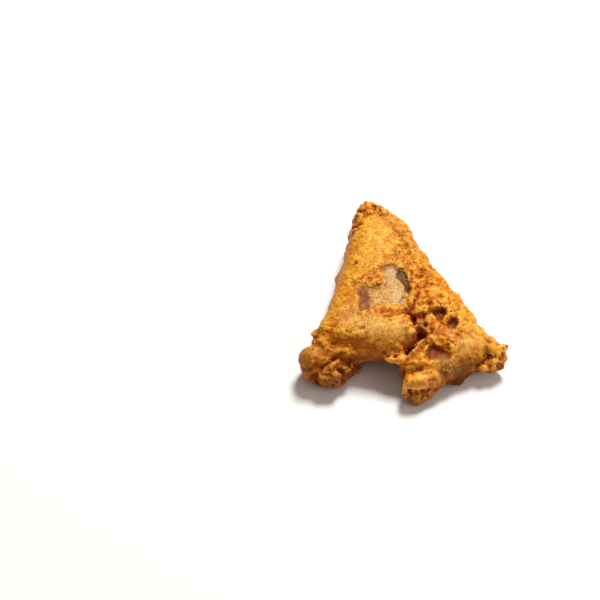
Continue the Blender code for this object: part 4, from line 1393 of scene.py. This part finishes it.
class NUGGET_OT_seasoning(bpy.types.Operator):
    """Sprinkle pepper specks and a few herb flecks, thickest towards the far end"""

    bl_idname = "nugget.seasoning"
    bl_label = "Pepper and herbs"

    def execute(self, context):
        amounts = context.scene.nugget_bits

        def towards_far_end(points, normals):
            """Rises from the middle to the far end, and is 0 near the floor."""
            return np.where(points[:, 2] > 0.8, 0.25 + smooth_step(5.0, 30.0, points[:, 1]), 0.0)

        stops = ramp_stops(amounts, (0.7, "black"), (1.0, "bark"))
        pepper = (amounts.pepper_count, amounts.pepper_width)
        lay_bits("pepper_specks", *pepper, towards_far_end, stops, PEPPER)
        stops = ramp_stops(amounts, (0.1, "leaf"), (0.8, "pith"))
        lay_bits("herb_flecks", amounts.herb_count, amounts.herb_width, towards_far_end, stops, HERBS)
        return {"FINISHED"}


def aim(obj, target):
    """Turns a light or the camera towards a point."""
    obj.rotation_euler = (Vector(target) - obj.location).to_track_quat("-Z", "Y").to_euler()


def area_light(name, place, size, power, tint):
    """A soft square light that points at the origin."""
    light = bpy.data.lights.new(name, "AREA")
    light.size = size
    light.energy = power
    light.color = tint
    obj = new_object(name, light)
    obj.location = place
    aim(obj, (0.0, 0.0, 0.0))


def pale_floor():
    """A pale square floor round the origin."""
    corners = np.array([(-1, -1, 0), (1, -1, 0), (1, 1, 0), (-1, 1, 0)]) * FLOOR_HALF_WIDTH / MM
    floor = new_object("floor", new_mesh("floor", corners, np.array([[0, 1, 2, 3]])))
    sheet = NodeSheet("pale_floor")
    sheet.finish(Base_Color=(0.9, 0.9, 0.9, 1.0), Roughness=0.9)
    floor.data.materials.append(sheet.material)


def studio_world():
    """A world that lights evenly from all round."""
    world = bpy.data.worlds.new("studio")
    world.use_nodes = True
    background = world.node_tree.nodes["Background"].inputs
    background["Color"].default_value = STUDIO_TINT
    background["Strength"].default_value = STUDIO_STRENGTH
    return world


class NUGGET_OT_stage(bpy.types.Operator):
    """Set up the floor, the lights and the camera"""

    bl_idname = "nugget.stage"
    bl_label = "Stage"

    def execute(self, context):
        scene = context.scene
        stage = scene.nugget_stage
        pale_floor()
        centring = bpy.data.objects[CRUST].data["centring"]
        target = Vector(stage.target) + Vector((*centring, 0.0)) * MM
        camera = new_object("camera", bpy.data.cameras.new("camera"))
        camera.data.lens = LENS
        camera.data.sensor_width = SENSOR
        back = Vector((0.0, -math.cos(stage.elevation), math.sin(stage.elevation)))
        camera.location = target + back * stage.distance
        aim(camera, target)
        scene.camera = camera
        for name, light in LIGHTS.items():
            area_light(name, **light)
        scene.world = studio_world()
        scene.view_settings.view_transform = "Standard"
        return {"FINISHED"}


class NUGGET_PT_panel(bpy.types.Panel):
    """Nugget tools"""

    bl_label = "Catfish Nugget"
    bl_idname = "NUGGET_PT_panel"
    bl_space_type = "VIEW_3D"
    bl_region_type = "UI"
    bl_category = "Nugget"

    def draw(self, context):
        for group in GROUPS:
            settings = getattr(context.scene, group)
            box = self.layout.box()
            for name in settings.__annotations__:
                box.prop(settings, name)
        for operator in OPERATORS:
            self.layout.operator(operator.bl_idname)


OPERATORS = (NUGGET_OT_crust, NUGGET_OT_crumbs, NUGGET_OT_seasoning, NUGGET_OT_stage)
GROUPS = {
    "nugget_shape": NuggetShape,
    "nugget_colours": NuggetColours,
    "nugget_bits": NuggetBits,
    "nugget_stage": NuggetStage,
}


def register():
    """Registers the classes and adds the settings to the scene."""
    for cls in (*GROUPS.values(), *OPERATORS, NUGGET_PT_panel):
        bpy.utils.register_class(cls)
    for name, group in GROUPS.items():
        setattr(bpy.types.Scene, name, PointerProperty(type=group))


def unregister():
    """Takes the settings and the classes away again."""
    for name in GROUPS:
        delattr(bpy.types.Scene, name)
    for cls in (NUGGET_PT_panel, *OPERATORS, *GROUPS.values()):
        bpy.utils.unregister_class(cls)


def main():
    """Models the nugget and its stage."""
    register()
    bpy.ops.nugget.crust()
    bpy.ops.nugget.crumbs()
    bpy.ops.nugget.seasoning()
    bpy.ops.nugget.stage()


if __name__ == "__main__":
    main()
